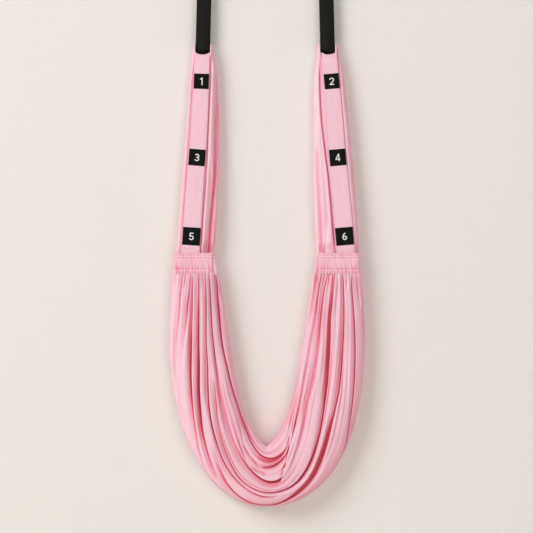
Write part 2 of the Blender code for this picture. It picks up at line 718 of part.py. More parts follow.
def add_casing(name, arm, cloth, tape_cloth, axis):
    """The ruched casing: a hem strip above and below, puckers between, and the gathering tape behind."""
    count = 49
    outside = casing_plan(arm, 0, count)
    inside = casing_plan(arm, CASING_WALL + CASING_PUCKER, count)
    normal = outside - inside
    normal /= np.linalg.norm(normal, axis=1)[:, None]
    hem = CASING_HEM / CASING_HEIGHT
    hem_levels = ((0, 0.6), (0.04, 1), (hem - 0.03, 1), (hem, 0))
    levels = hem_levels + ((0.5, 0.9),) + tuple((1 - share, lift) for share, lift in hem_levels[::-1])
    outer, inner = [], []
    for share, lift in levels:
        drop = ARM_DROP + share * CASING_HEIGHT
        ruche = hem < share < 1 - hem
        row = []
        for k, (offset, y) in enumerate(outside):
            wave = 0.5 + 0.5 * math.cos(math.pi * k) if ruche else 1.0
            back = CASING_PUCKER * (1 - lift * wave)
            row.append(on_arm(arm, drop, offset - normal[k][0] * back, y - normal[k][1] * back))
        outer.append(row)
        inner.append([on_arm(arm, drop, offset, y) for offset, y in inside])
    add_piece(name, between(outer, inner), cloth, axis)

    gap = CASING_WALL + CASING_PUCKER + SEAT_GAP
    plan, plan_back = casing_plan(arm, gap, 21)[4:-4], casing_plan(arm, gap + TAPE_THICK, 21)[4:-4]
    middle = ARM_DROP + CASING_HEIGHT / 2
    rows = []
    for points in (plan, plan_back):
        grid = []
        for drop in (middle - TAPE_HEIGHT / 2, middle + TAPE_HEIGHT / 2):
            grid.append([on_arm(arm, drop, offset, y) for offset, y in points])
        rows.append(grid)
    add_piece(name.replace("casing", "gathering_tape"), between(*rows), tape_cloth, axis)


# Sling


def edge_curve(arm, edge, start, drop, shift):
    """Even points along one edge of the sling, from beside a casing's bottom corner to the middle."""
    corners = [on_arm(arm, 0, start + arm[edge]["flare"], 0)]
    corners += [on_arm(arm, drop * share, offset, 0) for offset, share in arm[edge]["handles"]]
    corners.append((shift, 0, CROWN_Z - drop))
    lower = Vector((0, 0, CASING_BOTTOM_Z - CROWN_Z))
    line = interpolate_bezier(*(Vector(corner) + lower for corner in corners), 200)
    points = np.array([tuple(point) for point in line])[:, [0, 2]]
    length = np.concatenate([[0], np.cumsum(np.linalg.norm(np.diff(points, axis=0), axis=1))])
    return points, length / length[-1]


def edge_place(curves, t):
    """A point on an edge: t runs from 0 at the left casing, through 1 at the middle, to 2 at the right."""
    points, share = curves[-1 if t <= 1 else 1]
    at = t if t <= 1 else 2 - t
    return np.array([np.interp(at, share, points[:, k]) for k in range(2)])


def sling_half_depth(t):
    return float(smooth_through(list(zip(SLING_DEPTH_PLACES, SLING_HALF_DEPTHS)), min(t, 2 - t)))


def cup_depth(across):
    """Share of the half depth at a place across the sling: round at the outer edge, fuller in the middle."""
    nose = 0.3
    if across < nose:
        return math.sqrt(1 - (1 - across / nose) ** 2)
    return 1 - 0.3 * ((across - nose) / (1 - nose)) ** 2


def sling_section(t, outer, inner, flat=0.0):
    """One ring of the sling: the valleys and crests of its front, the inner lip, and its back."""
    half = sling_half_depth(t)
    points = [(0.0, 0.0)]
    last = 0.0
    for fold in FOLDS:
        across = float(smooth_through(list(zip(FOLD_PLACES, fold["across"])), t))
        depth = float(smooth_through(list(zip(FOLD_PLACES, fold["depth"])), t)) * FOLD_DEPTH * (1 - flat)
        points.append(((last + across) / 2, -half * cup_depth((last + across) / 2)))
        points.append((across, -half * cup_depth(across) + min(depth, 0.6 * half * cup_depth(across))))
        last = across
    points.append(((last + 1) / 2, -half * cup_depth((last + 1) / 2)))
    points += [(1.0, -0.35 * half), (1.0, 0.35 * half)]
    last = 1.0
    for across in BACK_FOLDS[::-1]:
        points.append(((last + across) / 2, half * cup_depth((last + across) / 2)))
        points.append((across, half * cup_depth(across) - 0.6 * FOLD_DEPTH * (1 - flat)))
        last = across
    points.append((last / 2, half * cup_depth(last / 2)))
    return [(*(outer + (inner - outer) * w), y) for w, y in points]


def neck_ring(arm, z):
    """The sling's gathered end inside a casing."""
    outer, inner = casing_edges(arm, CASING_WALL + CASING_PUCKER + 2 * SEAT_GAP)
    ends = [np.array((arm["side"] * (CROWN_SPACING / 2 + offset), z)) for offset in (outer, inner)]
    ring = sling_section(0 if arm["side"] < 0 else 2, *ends, flat=0.7)
    return [(x, min(max(y, -NECK_FRONT), NECK_BACK), height) for x, height, y in ring]


def add_sling(name, cloth, axis):
    """The wide cloth, gathered into a casing at each end, with its folds running round the bottom."""
    outer_curves, inner_curves = {}, {}
    for arm in (LEFT_ARM, RIGHT_ARM):
        outer, inner = casing_edges(arm, 0)
        outer_curves[arm["side"]] = edge_curve(arm, "sling_outer", outer, SLING_DROP, SLING_SHIFT)
        inner_curves[arm["side"]] = edge_curve(arm, "sling_inner", inner, SLING_GAP_DROP, SLING_GAP_SHIFT)
    rings = []
    for t in np.linspace(0.035, 1.965, SLING_STEPS):
        section = sling_section(t, edge_place(outer_curves, t), edge_place(inner_curves, t))
        rings.append([(x, y, z) for x, z, y in section])
    top, mouth = NECK_Z - SEAT_GAP / 2, CASING_BOTTOM_Z - SEAT_GAP
    rings = [neck_ring(LEFT_ARM, top), neck_ring(LEFT_ARM, mouth)] + rings
    rings += [neck_ring(RIGHT_ARM, mouth), neck_ring(RIGHT_ARM, top)]
    return add_piece(name, loft(rings), cloth, axis, sharp_deg=60)


# Assembly


def main():
    for old in list(bpy.data.objects):
        bpy.data.objects.remove(old, do_unlink=True)

    pink = make_material("pink_jersey", (0.86, 0.40, 0.52), 0.75)
    pink_band = make_material("pink_band", (0.88, 0.44, 0.56), 0.7)
    tape = make_material("white_tape", (0.80, 0.78, 0.76), 0.8)
    black = make_material("black_webbing", (0.013, 0.014, 0.012), 0.75)
    label_black = make_material("black_label", (0.012, 0.013, 0.012), 0.6)
    steel = make_material("steel", (0.62, 0.63, 0.65), 0.28, 1.0)
    dark_steel = make_material("dark_steel", (0.10, 0.10, 0.11), 0.35, 0.9)

    strap_axis = add_axis("strap_swing_axis", (0, 0, BASE_BAR_Z))
    hammock_axis = add_axis("hammock_swing_axis", (0, 0, CROWN_Z))
    height = pin_height()
    for hand, arm in (("left", LEFT_ARM), ("right", RIGHT_ARM)):
        side = arm["side"]
        gate_axis = add_axis(hand + "_gate_axis", gate_frame(side) @ Vector((0, 0, height)))
        add_carabiner_body(hand + "_carabiner_body", side, steel, height)
        add_gate(hand + "_gate", side, steel, height, gate_axis)
        add_gate_pin(hand + "_gate_pin", side, steel, height)
        add_gate_spring(hand + "_gate_spring", side, steel, height, gate_axis)
        add_lock_sleeve(hand + "_lock_sleeve", side, dark_steel, gate_axis)
        add_strap(hand + "_strap", side, black, strap_axis)
        add_arm_cloth(hand + "_arm_cloth", arm, pink, hammock_axis)
        _, face = add_band(hand + "_grip_band", arm, pink_band, tape, hammock_axis)
        for number, drop in zip(arm["numbers"], label_drops()):
            add_label(f"label_{number}", arm, drop, face, label_black, hammock_axis)
        add_casing(hand + "_casing", arm, pink_band, tape, hammock_axis)
    add_sling("sling_cloth", pink, hammock_axis)


main()
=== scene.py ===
"""Looks of the aerial yoga hammock: gathered jersey, grip bands, labels, casings, webbing and steel.

Shapes are worked out in millimetres in the frame of the solids: +X to the right, -Y to the front,
+Z up, the origin midway between the carabiners' hanging points. A place on the cloth is written as
(x, drop): millimetres from the middle of the object, and millimetres below the crowns of the arms.
"""

import itertools
import json
import math

import bmesh
import bpy
import numpy as np
from mathutils import Matrix, Vector
from mathutils.geometry import interpolate_bezier

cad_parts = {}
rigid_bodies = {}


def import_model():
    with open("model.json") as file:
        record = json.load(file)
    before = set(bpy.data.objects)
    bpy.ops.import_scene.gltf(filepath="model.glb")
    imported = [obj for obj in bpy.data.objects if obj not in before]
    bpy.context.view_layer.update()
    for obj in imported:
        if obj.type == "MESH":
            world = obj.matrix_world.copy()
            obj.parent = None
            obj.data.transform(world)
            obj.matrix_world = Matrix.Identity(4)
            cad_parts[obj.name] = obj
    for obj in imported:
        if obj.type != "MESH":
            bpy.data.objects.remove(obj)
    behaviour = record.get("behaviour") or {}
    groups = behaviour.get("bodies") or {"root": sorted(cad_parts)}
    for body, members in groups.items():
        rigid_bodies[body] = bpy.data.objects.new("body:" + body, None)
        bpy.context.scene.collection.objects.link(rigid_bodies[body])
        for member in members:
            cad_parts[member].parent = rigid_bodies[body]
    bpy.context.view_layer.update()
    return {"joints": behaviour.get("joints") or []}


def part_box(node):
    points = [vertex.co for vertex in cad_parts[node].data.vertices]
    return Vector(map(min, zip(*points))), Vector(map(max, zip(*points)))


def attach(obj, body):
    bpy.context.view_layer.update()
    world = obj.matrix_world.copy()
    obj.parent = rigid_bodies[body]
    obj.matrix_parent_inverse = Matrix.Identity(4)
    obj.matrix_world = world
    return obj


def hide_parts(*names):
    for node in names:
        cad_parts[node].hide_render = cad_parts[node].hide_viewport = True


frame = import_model()


def box_mm(node):
    """Lowest and highest corner of a solid, in millimetres."""
    return tuple(np.array(corner) * 1000 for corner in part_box(node))


def joint_height(name):
    """Height of a joint's axis, in millimetres."""
    return next(joint["pos_m"][2] for joint in frame["joints"] if joint["name"] == name) * 1000


# Heights and depths that the solids set
CROWN_Z = joint_height("hammock_swing")
BASE_BAR_Z = joint_height("strap_swing")
CASING_BOTTOM_Z, CASING_TOP_Z = box_mm("left_casing")[0][2], box_mm("left_casing")[1][2]
ARM_DROP = CROWN_Z - CASING_TOP_Z
CASING_DROP = CROWN_Z - CASING_BOTTOM_Z
SLING_DROP = CROWN_Z - box_mm("sling_cloth")[0][2] - CASING_DROP

# Where things hang
CROWN_X = 130
HANG_X = 127
STRAP_REACH = BASE_BAR_Z - CROWN_Z

# Edges of the sling: beside the casing's bottom corner, two handles and the middle, as (x, drop)
SLING_GAP_DROP = 361.5
SLING_EDGES = {
    "outer": (
        ((-192, CASING_DROP), (-230, 795), (-122, CASING_DROP + SLING_DROP), (4, CASING_DROP + SLING_DROP)),
        ((200, CASING_DROP), (236, 798), (143, CASING_DROP + SLING_DROP), (4, CASING_DROP + SLING_DROP)),
    ),
    "inner": (
        ((-99, CASING_DROP), (-66, 606), (-70, 776), (3, CASING_DROP + SLING_GAP_DROP)),
        ((99, CASING_DROP), (68, 680), (60, 779), (3, CASING_DROP + SLING_GAP_DROP)),
    ),
}
SLING_MIDDLE_X = 3.5

# Half depths of the sling from front to back, from a casing (0) to the middle (1), and at its very neck
DEPTH_PLACES = (0.008, 0.035, 0.12, 0.5, 1.0)
FRONT_DEPTHS = (20.0, 21.6, 24.0, 27.0, 35.0)
BACK_DEPTHS = (16.8, 18.5, 24.0, 27.0, 35.0)
NECK_PLACES = (0.0, 0.0012, 0.003, 0.008)
NECK_DEPTHS = (17.2, 18.0, 18.8, 20.0)
ROUNDNESS = 2.4
NECK_SQUARENESS = 4.5

# Valleys between the folds of the sling, from its outer edge to its inner one. Each runs from the left
# casing, round the bottom, to the right casing. A point is (x, drop, depth, crispness). Where a valley
# is too faint to see, "unseen" only says how it keeps its place among the others: t runs from 0 at the
# left casing to 2 at the right one, and w from 0 at the outer edge to 1 at the inner edge.
VALLEYS = (
    {
        "points": (
            (-170, 468, 8, 1), (-172, 483, 8, 1), (-176, 516, 8, 0.9), (-178, 549, 7, 0.7),
            (-182, 587, 6, 0.4), (-185, 640, 5, 0.2), (-184, 691, 4, 0.2), (-182, 732, 2, 0.1),
            (-175, 770, 0, 0),
            (197, 545, 0, 0.2), (196, 524, 4, 0.5), (193, 497, 6, 0.8), (190, 472, 7, 1),
        ),
        "unseen": ((0.9, 0.012), (1.3, 0.03)),
    },
    {
        "points": (
            (-154, 468, 8, 1), (-156, 503, 8, 1), (-160, 535, 8, 0.9), (-163, 570, 6, 0.6),
            (-168, 604, 5, 0.3), (-172, 640, 4, 0.2), (-172, 674, 0, 0),
            (158, 855, 0, 0.8), (168, 826, 5, 1), (175, 788, 7, 1), (181, 745, 8, 1), (185, 703, 8, 1),
            (187, 657, 9, 1), (187, 607, 9, 1), (185, 564, 9, 1), (182, 522, 8, 1), (180, 490, 8, 1),
            (181, 472, 8, 1),
        ),
        "unseen": ((0.7, 0.04), (1.0, 0.02)),
    },
    {
        "points": (
            (-149, 470, 4, 0.4), (-151, 503, 7, 0.8), (-151, 541, 8, 1), (-152, 576, 8, 1),
            (-153, 618, 11, 1), (-154, 660, 13, 1), (-153, 701, 12, 1), (-149, 757, 8, 0.9),
            (-143, 801, 7, 0.8), (-138, 836, 6, 0.7), (-129, 866, 4, 0.6), (-119, 894, 0, 0.5),
        ),
        "unseen": ((1.0, 0.015), (1.3, 0.05), (1.6, 0.2), (2.0, 0.26)),
    },
    {
        "points": (
            (-137, 470, 9, 1), (-137, 560, 9, 1), (-137, 618, 12, 1), (-136, 660, 15, 1),
            (-136, 711, 15, 1), (-133, 762, 13, 1), (-129, 801, 10, 1), (-121, 834, 9, 0.9),
            (-114, 861, 8, 0.8), (-105, 884, 6, 0.6), (-95, 903, 0, 0.5),
        ),
        "unseen": ((1.0, 0.03), (1.3, 0.12), (1.6, 0.28), (2.0, 0.32)),
    },
    {
        "points": (
            (-109, 815, 0, 0.5), (-100, 855, 4, 0.7), (-93, 878, 6, 1), (-79, 907, 8, 1), (-63, 928, 9, 1),
            (-40, 944, 9, 1), (-15, 953, 8, 1), (10, 955, 8, 1), (33, 946, 9, 1), (62, 932, 10, 1),
            (87, 909, 11, 1), (108, 878, 12, 1), (120, 847, 13, 1), (130, 815, 13, 1), (136, 792, 11, 1),
            (146, 749, 9, 1), (154, 711, 9, 1), (159, 666, 9, 1), (162, 624, 9, 1), (164, 574, 9, 1),
            (164, 524, 9, 1), (162, 478, 9, 1),
        ),
        "unseen": ((0.0, 0.66), (0.3, 0.57), (0.5, 0.46)),
        "flat": ((0, 0), (1.04, 0), (1.14, 7), (1.24, 10), (1.34, 6), (1.45, 1), (1.55, 0), (2, 0)),
    },
    {
        "points": (
            (-124, 474, 8, 1), (-122, 524, 8, 1), (-122, 565, 8, 1), (-122, 607, 8, 1), (-119, 666, 9, 1),
            (-118, 716, 10, 1), (-113, 770, 12, 1), (-106, 801, 11, 1), (-94, 840, 9, 1), (-82, 869, 9, 1),
            (-68, 888, 9, 1), (-52, 906, 9, 1), (-32, 922, 8, 1), (-7, 933, 8, 1), (14, 934, 5, 0.8),
            (31, 931, 0, 0.5),
        ),
        "unseen": ((1.2, 0.24), (1.35, 0.375), (1.5, 0.43), (2.0, 0.46)),
    },
    {
        "points": (
            (-105, 674, 0, 0.5), (-104, 712, 5, 0.8), (-101, 743, 6, 1), (-98, 774, 6, 1), (-92, 803, 7, 1),
            (-86, 828, 8, 1), (-78, 849, 8, 1), (-67, 874, 9, 1), (-50, 900, 9, 1), (-27, 916, 8, 1),
            (-2, 925, 8, 1), (22, 925, 8, 1), (43, 918, 10, 1), (58, 912, 12, 1), (74, 894, 14, 1),
            (93, 863, 12, 1), (106, 828, 11, 1), (113, 805, 11, 1), (121, 761, 11, 1), (126, 722, 12, 1),
            (130, 691, 13, 1), (133, 645, 13, 1), (135, 595, 11, 1), (136, 562, 10, 1), (139, 532, 10, 1),
            (142, 501, 9, 1), (145, 474, 9, 1),
        ),
        "unseen": ((0.0, 0.765), (0.3, 0.69)),
        "flat": ((0, 0), (1.4, 0), (1.5, 1.2), (1.62, 1.6), (1.72, 0.8), (1.8, 0), (2, 0)),
    },
    {
        "points": (
            (-116, 476, 9, 1), (-114, 503, 9, 1), (-112, 545, 9, 1), (-109, 595, 9, 1),
            (-106, 624, 9, 0.9), (-102, 661, 8, 0.5), (-94, 711, 8, 0.3), (-83, 757, 8, 0.2),
            (-69, 807, 8, 0.3), (-51, 847, 8, 0.4), (-40, 865, 9, 0.7), (-17, 890, 13, 1),
            (10, 904, 15, 1), (37, 896, 14, 1), (52, 872, 9, 0.8), (64, 840, 7, 0.3), (74, 811, 8, 0.2),
            (82, 774, 9, 0.2), (88, 740, 9, 0.2), (96, 707, 9, 0.2), (103, 678, 9, 0.2),
            (108, 645, 9, 0.3), (113, 601, 9, 0.6), (115, 570, 9, 0.9), (118, 541, 9, 1), (123, 503, 9, 1),
            (130, 472, 9, 1),
        ),
        "unseen": (),
    },
    {
        "points": (
            (-26, 868, 0, 0.4), (-12, 872, 4, 0.6), (2, 874, 8, 0.9), (14, 872, 9, 1), (25, 867, 9, 1),
            (39, 854, 8, 1), (50, 830, 9, 1), (58, 799, 9, 0.8), (67, 763, 8, 0.5), (76, 722, 7, 0.3),
            (83, 682, 7, 0.3), (91, 641, 7, 0.3), (98, 599, 7, 0.3), (106, 557, 7, 0.4), (109, 524, 8, 0.7),
            (114, 491, 8, 0.9), (117, 474, 8, 1),
        ),
        "unseen": ((0.0, 0.87), (0.3, 0.83), (0.6, 0.84), (0.8, 0.8)),
    },
    {
        "points": (
            (-106, 458, 11, 1), (-104, 474, 11, 1), (-98, 524, 11, 1), (-94, 574, 11, 1), (-88, 622, 11, 1),
            (-79, 661, 10, 1), (-68, 707, 9, 1), (-54, 751, 9, 1), (-41, 790, 9, 1), (-31, 815, 9, 1),
            (-20, 836, 9, 1), (-11, 847, 10, 1), (0, 854, 10, 1), (20, 854, 10, 1), (33, 847, 9, 1),
            (43, 836, 7, 1), (50, 826, 0, 1),
            (91, 587, 0, 0.3), (96, 557, 4, 0.3), (101, 528, 6, 0.4), (106, 503, 7, 0.6), (110, 474, 8, 0.8),
        ),
        "unseen": ((1.2, 0.86), (1.3, 0.91), (1.5, 0.93)),
    },
)

# Short tucks that cross or lie between the valleys. A point is (x, drop, depth).
TUCKS = (
    ((-183, 464, 5), (-187, 483, 5), (-190, 524, 0)),
    ((-178, 464, 4), (-178, 476, 4), (-180, 486, 0)),
    ((-163, 464, 6), (-167, 487, 4), (-169, 508, 0)),
    ((-146, 464, 5), (-145, 478, 5), (-147, 503, 0)),
    ((-129, 464, 6), (-128, 487, 5), (-127, 508, 0)),
    ((134, 464, 6), (132, 485, 5), (126, 524, 0)),
    ((150, 464, 7), (151, 490, 6), (147, 545, 4), (145, 610, 0)),
    ((169, 464, 6), (169, 489, 5), (168, 508, 0)),
    ((175, 464, 5), (175, 474, 4), (176, 486, 0)),
    ((-57, 809, 0), (-46, 828, 4), (-36, 844, 6), (-17, 869, 6), (0, 889, 4)),
    ((54, 800, 0), (52, 815, 6), (47, 845, 9), (42, 870, 10), (36, 890, 9), (29, 909, 3), (24, 916, 0)),
)

# Edge of the fold that hangs over the scoops' right ends. A point is (x, drop, share of the full lift).
OVERLAP = (
    (57, 780, 0), (53, 812, 0.7), (48, 845, 1), (43, 870, 1), (37, 890, 0.9), (30, 909, 0.3), (25, 918, 0),
)
OVERLAP_LIFT, OVERLAP_REACH = 3.5, 17

# Arms: each row of an outline pairs a drop below the crown with an offset outwards from the middle of the
# strap. A valley also has rows of (drop, depth) and (drop, crispness).
ARMS = {
    "left": {
        "side": -1,
        "numbers": (1, 3, 5),
        "outer": ((-11, 19.5), (6, 22), (77, 28.5), (168, 35.4), (316, 47.8), (426, 55.5)),
        "inner": ((-11, 20.5), (6, 23.3), (42, 28), (112, 32.7), (200, 34.1), (306, 31.6), (426, 24.8)),
        "band": ((17, 1.0), (98, 3.8), (168, 7.3), (289, 16.3), (426, 25.4)),
        "bed_outer": ((19, 18.1), (56, 20.2), (150, 26.4), (275, 34.7), (358, 42), (420, 47.8)),
        "bed_inner": ((19, -17.3), (67, -16), (150, -12.3), (275, -6.2), (358, 0), (424, 4.4)),
        "valleys": (
            {
                "line": ((19, -20), (150, -20), (230, -18.5), (275, -17.3), (358, -13), (420, -7.3)),
                "depth": ((220, 0), (275, 3), (358, 3), (420, 4)),
                "crisp": ((220, 0.3), (424, 0.4)),
                "rear": 0,
            },
            {
                "line": ((19, -21), (87, -28.7), (150, -27.7), (275, -24.5), (358, -17.3), (424, -12.5)),
                "depth": ((40, 0), (87, 3), (150, 5), (275, 8), (400, 8)),
                "crisp": ((87, 0.3), (180, 0.7), (275, 1)),
                "rear": 5,
            },
        ),
        "casing_middle": 18.5,
        "casing_width": 85,
    },
    "right": {
        "side": 1,
        "numbers": (2, 4, 6),
        "outer": ((-11, 19.5), (2, 22.5), (42, 31.2), (112, 40.1), (202, 48.9), (324, 59.5), (426, 66)),
        "inner": ((-11, 20.0), (10, 22), (42, 26.2), (183, 29.7), (308, 28.9), (426, 23)),
        "band": ((17, 3.4), (98, 10.7), (202, 18.5), (358, 32.1), (426, 37.6)),
        "bed_outer": ((19, 20.4), (35, 22.7), (87, 25.6), (150, 31.2), (275, 42.2), (358, 50.5), (420, 55.3)),
        "bed_inner": ((19, -16), (87, -15.4), (150, -11.9), (275, 2.7), (358, 10), (420, 15.2)),
        "valleys": (
            {
                "line": ((60, -19), (150, -15.5), (275, -7.1), (358, -2.5), (420, -7.1)),
                "depth": ((120, 0), (200, 2.5), (358, 3), (400, 2), (424, 5)),
                "crisp": ((200, 0.2), (400, 0.3), (424, 1)),
                "rear": 0.5,
            },
            {
                "line": ((60, -24), (150, -23), (275, -19.6), (358, -14.8), (420, -12.7)),
                "depth": ((180, 0), (230, 4), (358, 6), (424, 6)),
                "crisp": ((200, 0.3), (358, 0.8), (424, 1)),
                "rear": 3,
            },
        ),
        "casing_middle": 24.5,
        "casing_width": 88,
        "foot_inner": -22.6,
    },
}

# Sections of the arms
HORN_RADIUS = 11.2
CROWN_RADIUS = 10.6
CROWN_TAPER = 5.0
ARM_BACK = 17
ARM_BACK_FOLDS = (0.14, 0.3, 0.45, 0.6, 0.74, 0.88)
FOLD_RISE = 5.6
FOLD_START = (12, 62)
LEAST_ARM_STRIP = 1.2
BED_LEAN = -0.45
BED_TOP, BED_BOTTOM, BED_NECK = 11.4, 15, 10.8
MOUTH_REACH = 13
NECK_FRONT, NECK_BACK = 12.5, 15

# Grip bands
BAND_WIDTHS = (31, 38.5)
BAND_START = 15
BAND_HOLLOW = 6
BAND_BACK = 2.1
BAND_FACE = 3.3
BAND_TUCK = 7
BAND_EDGE = 1.3
BAND_SEAM, BAND_SEAM_DEPTH = 2.3, 0.45
BAND_PUFF, BAND_TOP_PUFF = 0.35, 0.9

# Rolled hem at each side of the webbing, from the top down: offset from the webbing's middle, drop, y
HEM_LINE = (
    (16.9, -8, -8.8), (17.0, -3, -11.2), (17.0, 4, -12.4), (16.6, 10, -13.0), (15.6, 16, -13.6),
    (14.6, 20, -14.0),
)
HEM_RADIUS = 1.5

# Webbing loops
STRAP_WIDTH = 30
STRAP_THICK = 2.0
STRAP_EDGE = 0.32
SEAT_GAP = 0.3
STRAP_SIDE_GAP = 0.8
OPENING_RADII = (14.4, 17.6)
BAR_RADIUS = 5
SPLICE_START, SPLICE_END, SPLICE_SLOPE = 0.22, 0.62, 0.004

# Casings
CASING_HEIGHT = CASING_DROP - ARM_DROP
CASING_WALL = 1.8
CASING_PUCKER = 0.9
CASING_FULL = CASING_WALL + CASING_PUCKER
CASING_EDGE = 1.0
CASING_ROUND = 0.8
CASING_HEM = 10
CASING_LOW_HEM = 11
CASING_CORNER = 9
CASING_RETURN = 13
CASING_SEEDS = {"left": 7, "right": 11}
TAPE_THICK = 1.2

# Labels, in layers of (inset from the outline, height) from the underside to the middle of the face
LABEL_DROPS = (69.5, 227.9, 391.8)
LABEL_MARGIN = 0.4
LABEL_CORNER = 0.9
LABEL_LAYERS = ((0, 0), (0, 0.55), (0.25, 0.8), (0.7, 0.85), (1.1, 0.85), (1.5, 0.72), (1.9, 0.86), (4, 0.9))
NUMERAL_TALL = 15.5
NUMERAL_STROKE = 2.15
NUMERAL_MIDDLE = (0.32, 0.5)
NUMERAL_LOW, NUMERAL_HIGH = 0.8, 1.1

# How a fold falls off on each side of its valley
NARROW_WIDTH = 1.5
NARROW_SHARE = 0.5
BROAD_WIDTH = 5.2
SOFT_WIDTH = 6.5
TUCK_WIDTH = 2.0
VALLEY_ROUNDING = 0.25
FULL_ROOM, LEAST_ROOM = 16, 0.35
LIP_RISE, LIP_PLACE, LIP_WIDTH = 1.4, 3.2, 1.6
LEAN_PLACES, LEANS = (0.0, 1.15, 1.4, 2.0), (-0.75, -0.75, 0.75, 0.75)

# How valleys join, and how far they sink into the cloth as shares of its half depth
VALLEY_UNION = 2.5
LEAST_STRIP = 0.004
SLING_HELD, ARM_HELD, BACK_HELD = 0.9, 0.95, 0.8
BACK_CRISPNESS = 0.8

# Thickness of the sling's cloth, and the passes that round its lines
CLOTH_THICK = 1.3
LINE_EASING = 160
INNER_EASING = 12

# Painted shade in soft valleys, the side the light comes from (cloth turned to it gets painted highlights,
# cloth turned away painted shade), and painted shade on the sling's inner rim
SOFT_PAINTED_SHADE = 0.55
PAINTED_LIGHT_SIDE = (-0.65, -0.3, 0.85)
TURNED_PAINTED_SHADE = 0.3
RIM_PAINTED_SHADE = 3.4

# Small random relief of the sling's front. Streaks are (width, length as a share of the cloth, height).
SLING_SEED = 3
CREASE_SPACING, CREASE_DEPTH = 6.5, 3.0
STREAKS = ((8.0, 0.16, 0.8), (4.0, 0.12, 0.45), (2.0, 0.1, 0.2))

# Neck of the sling, gathered into a casing: how far up it reaches, its edges there, how far apart its
# pleats are, and what share of their depth the folds keep
NECK_TOP_DROP = 434
NECK_EDGES = {"outer": (-188.2, 195.2), "inner": (-105.5, 107.5)}
NECK_PLEAT = 5.5
NECK_SUNK = 0.45


# Curves


def smooth_through(places, values, at):
    """A smooth curve through (place, value) pairs, held level past its ends."""
    places, values = np.array(places, float), np.array(values, float)
    slopes = np.gradient(values, places)
    at = np.clip(at, places[0], places[-1])
    left = np.clip(np.searchsorted(places, at, side="right") - 1, 0, len(places) - 2)
    span = places[left + 1] - places[left]
    part = (at - places[left]) / span
    rise = 3 * part**2 - 2 * part**3
    return (
        values[left] * (1 - rise)
        + values[left + 1] * rise
        + slopes[left] * span * (part - 2 * part**2 + part**3)
        + slopes[left + 1] * span * (part**3 - part**2)
    )


def steady_through(places, values, at):
    """A curve through (place, value) pairs that never leaves the range of its two neighbours."""
    places, values = np.array(places, float), np.array(values, float)
    at = np.clip(at, places[0], places[-1])
    left = np.clip(np.searchsorted(places, at, side="right") - 1, 0, len(places) - 2)
    part = (at - places[left]) / (places[left + 1] - places[left])
    return values[left] + (values[left + 1] - values[left]) * (3 * part**2 - 2 * part**3)


def ease(start, end, at):
    """A share that rises smoothly from 0 at one place to 1 at another."""
    part = np.clip((np.asarray(at, float) - start) / (end - start), 0, 1)
    return 3 * part**2 - 2 * part**3


def lengths_along(points):
    """Length along a line of points, from 0."""
    return np.concatenate([[0], np.cumsum(np.linalg.norm(np.diff(points, axis=0), axis=1))])


def unit(vectors):
    return vectors / np.linalg.norm(vectors, axis=-1, keepdims=True)


def places_on(line, along, at):
    """Places on a line of points, at lengths along it."""
    return np.stack([np.interp(at, along, column) for column in line.T], axis=-1)


def arc(x, y, wide, tall, start, end, count=22):
    """Points on part of an ellipse, from one angle in degrees to another."""
    angles = np.radians(np.linspace(start, end, count))
    return [(x + wide * math.cos(angle), y + tall * math.sin(angle)) for angle in angles]


def bulge(distance, width):
    """1 at a distance of 0, falling off smoothly on both sides."""
    return np.exp(-((distance / width) ** 2))


def edge_fall(from_edge, radius):
    """How far a rounded edge has fallen away at a distance in from it, as a share of its radius."""
    return 1 - np.sqrt(1 - np.clip(1 - from_edge / radius, 0, 1) ** 2)


def headings(line):
    """Unit directions along a line of points."""
    return unit(np.gradient(line, axis=0))


def drawn_line(rows, count):
    """Places (x, z) on a smooth line through rows of (x, drop, value), and the values there."""
    points = np.array([(x, CROWN_Z - drop) for x, drop, _ in rows], float)
    along = lengths_along(points)
    at = np.linspace(0, along[-1], count)
    line = np.stack([smooth_through(along, points[:, k], at) for k in range(2)], axis=1)
    return line, np.interp(at, along, [row[2] for row in rows])


def within_reach(x, z, line, reach):
    """Which places lie within a reach, across and up, of the middle of a line."""
    return (np.abs(x - line[:, 0].mean()) < reach[0]) & (np.abs(z - line[:, 1].mean()) < reach[1])


def round_share(share, power):
    """Height of a rounded section at a share of its width: 0 at both edges and 1 in the middle."""
    return np.clip(1 - np.abs(2 * np.asarray(share, float) - 1) ** power, 0, 1) ** (1 / power)


def clustered(count):
    """Shares from 0 to 1 that lie closer together towards both ends. The last one is left out."""
    even = np.arange(count) / count
    return even - 0.75 * np.sin(2 * math.pi * even) / (2 * math.pi)


# Meshes


def skin_faces(rows, columns, ends="flat", first=0):
    """Faces of a skin over rings of points. Its ends are "open", closed "flat", or closed "paired": point
    by point where the first half of a ring faces the second half, so that they can curve."""
    index = first + np.arange(rows * columns).reshape(rows, columns)
    following = np.roll(index, -1, axis=1)
    quads = np.stack([index[:-1], following[:-1], following[1:], index[1:]], axis=-1)
    faces = quads.reshape(-1, 4).tolist()
    if ends == "flat":
        faces += [index[0][::-1].tolist(), index[-1].tolist()]
    if ends == "paired":
        for ring, k in itertools.product((index[0], index[-1]), range(columns // 2 - 1)):
            faces.append(ring[[k, k + 1, columns - 2 - k, columns - 1 - k]].tolist())
    return faces


def ring_mesh(name, rings, ends="flat"):
    """A skin over rings of points (rows, columns, 3) in millimetres, with UVs in metres."""
    mesh = bpy.data.meshes.new(name)
    mesh.from_pydata((rings.reshape(-1, 3) / 1000).tolist(), [], skin_faces(*rings.shape[:2], ends))
    add_ring_uvs(mesh, rings)
    return mesh


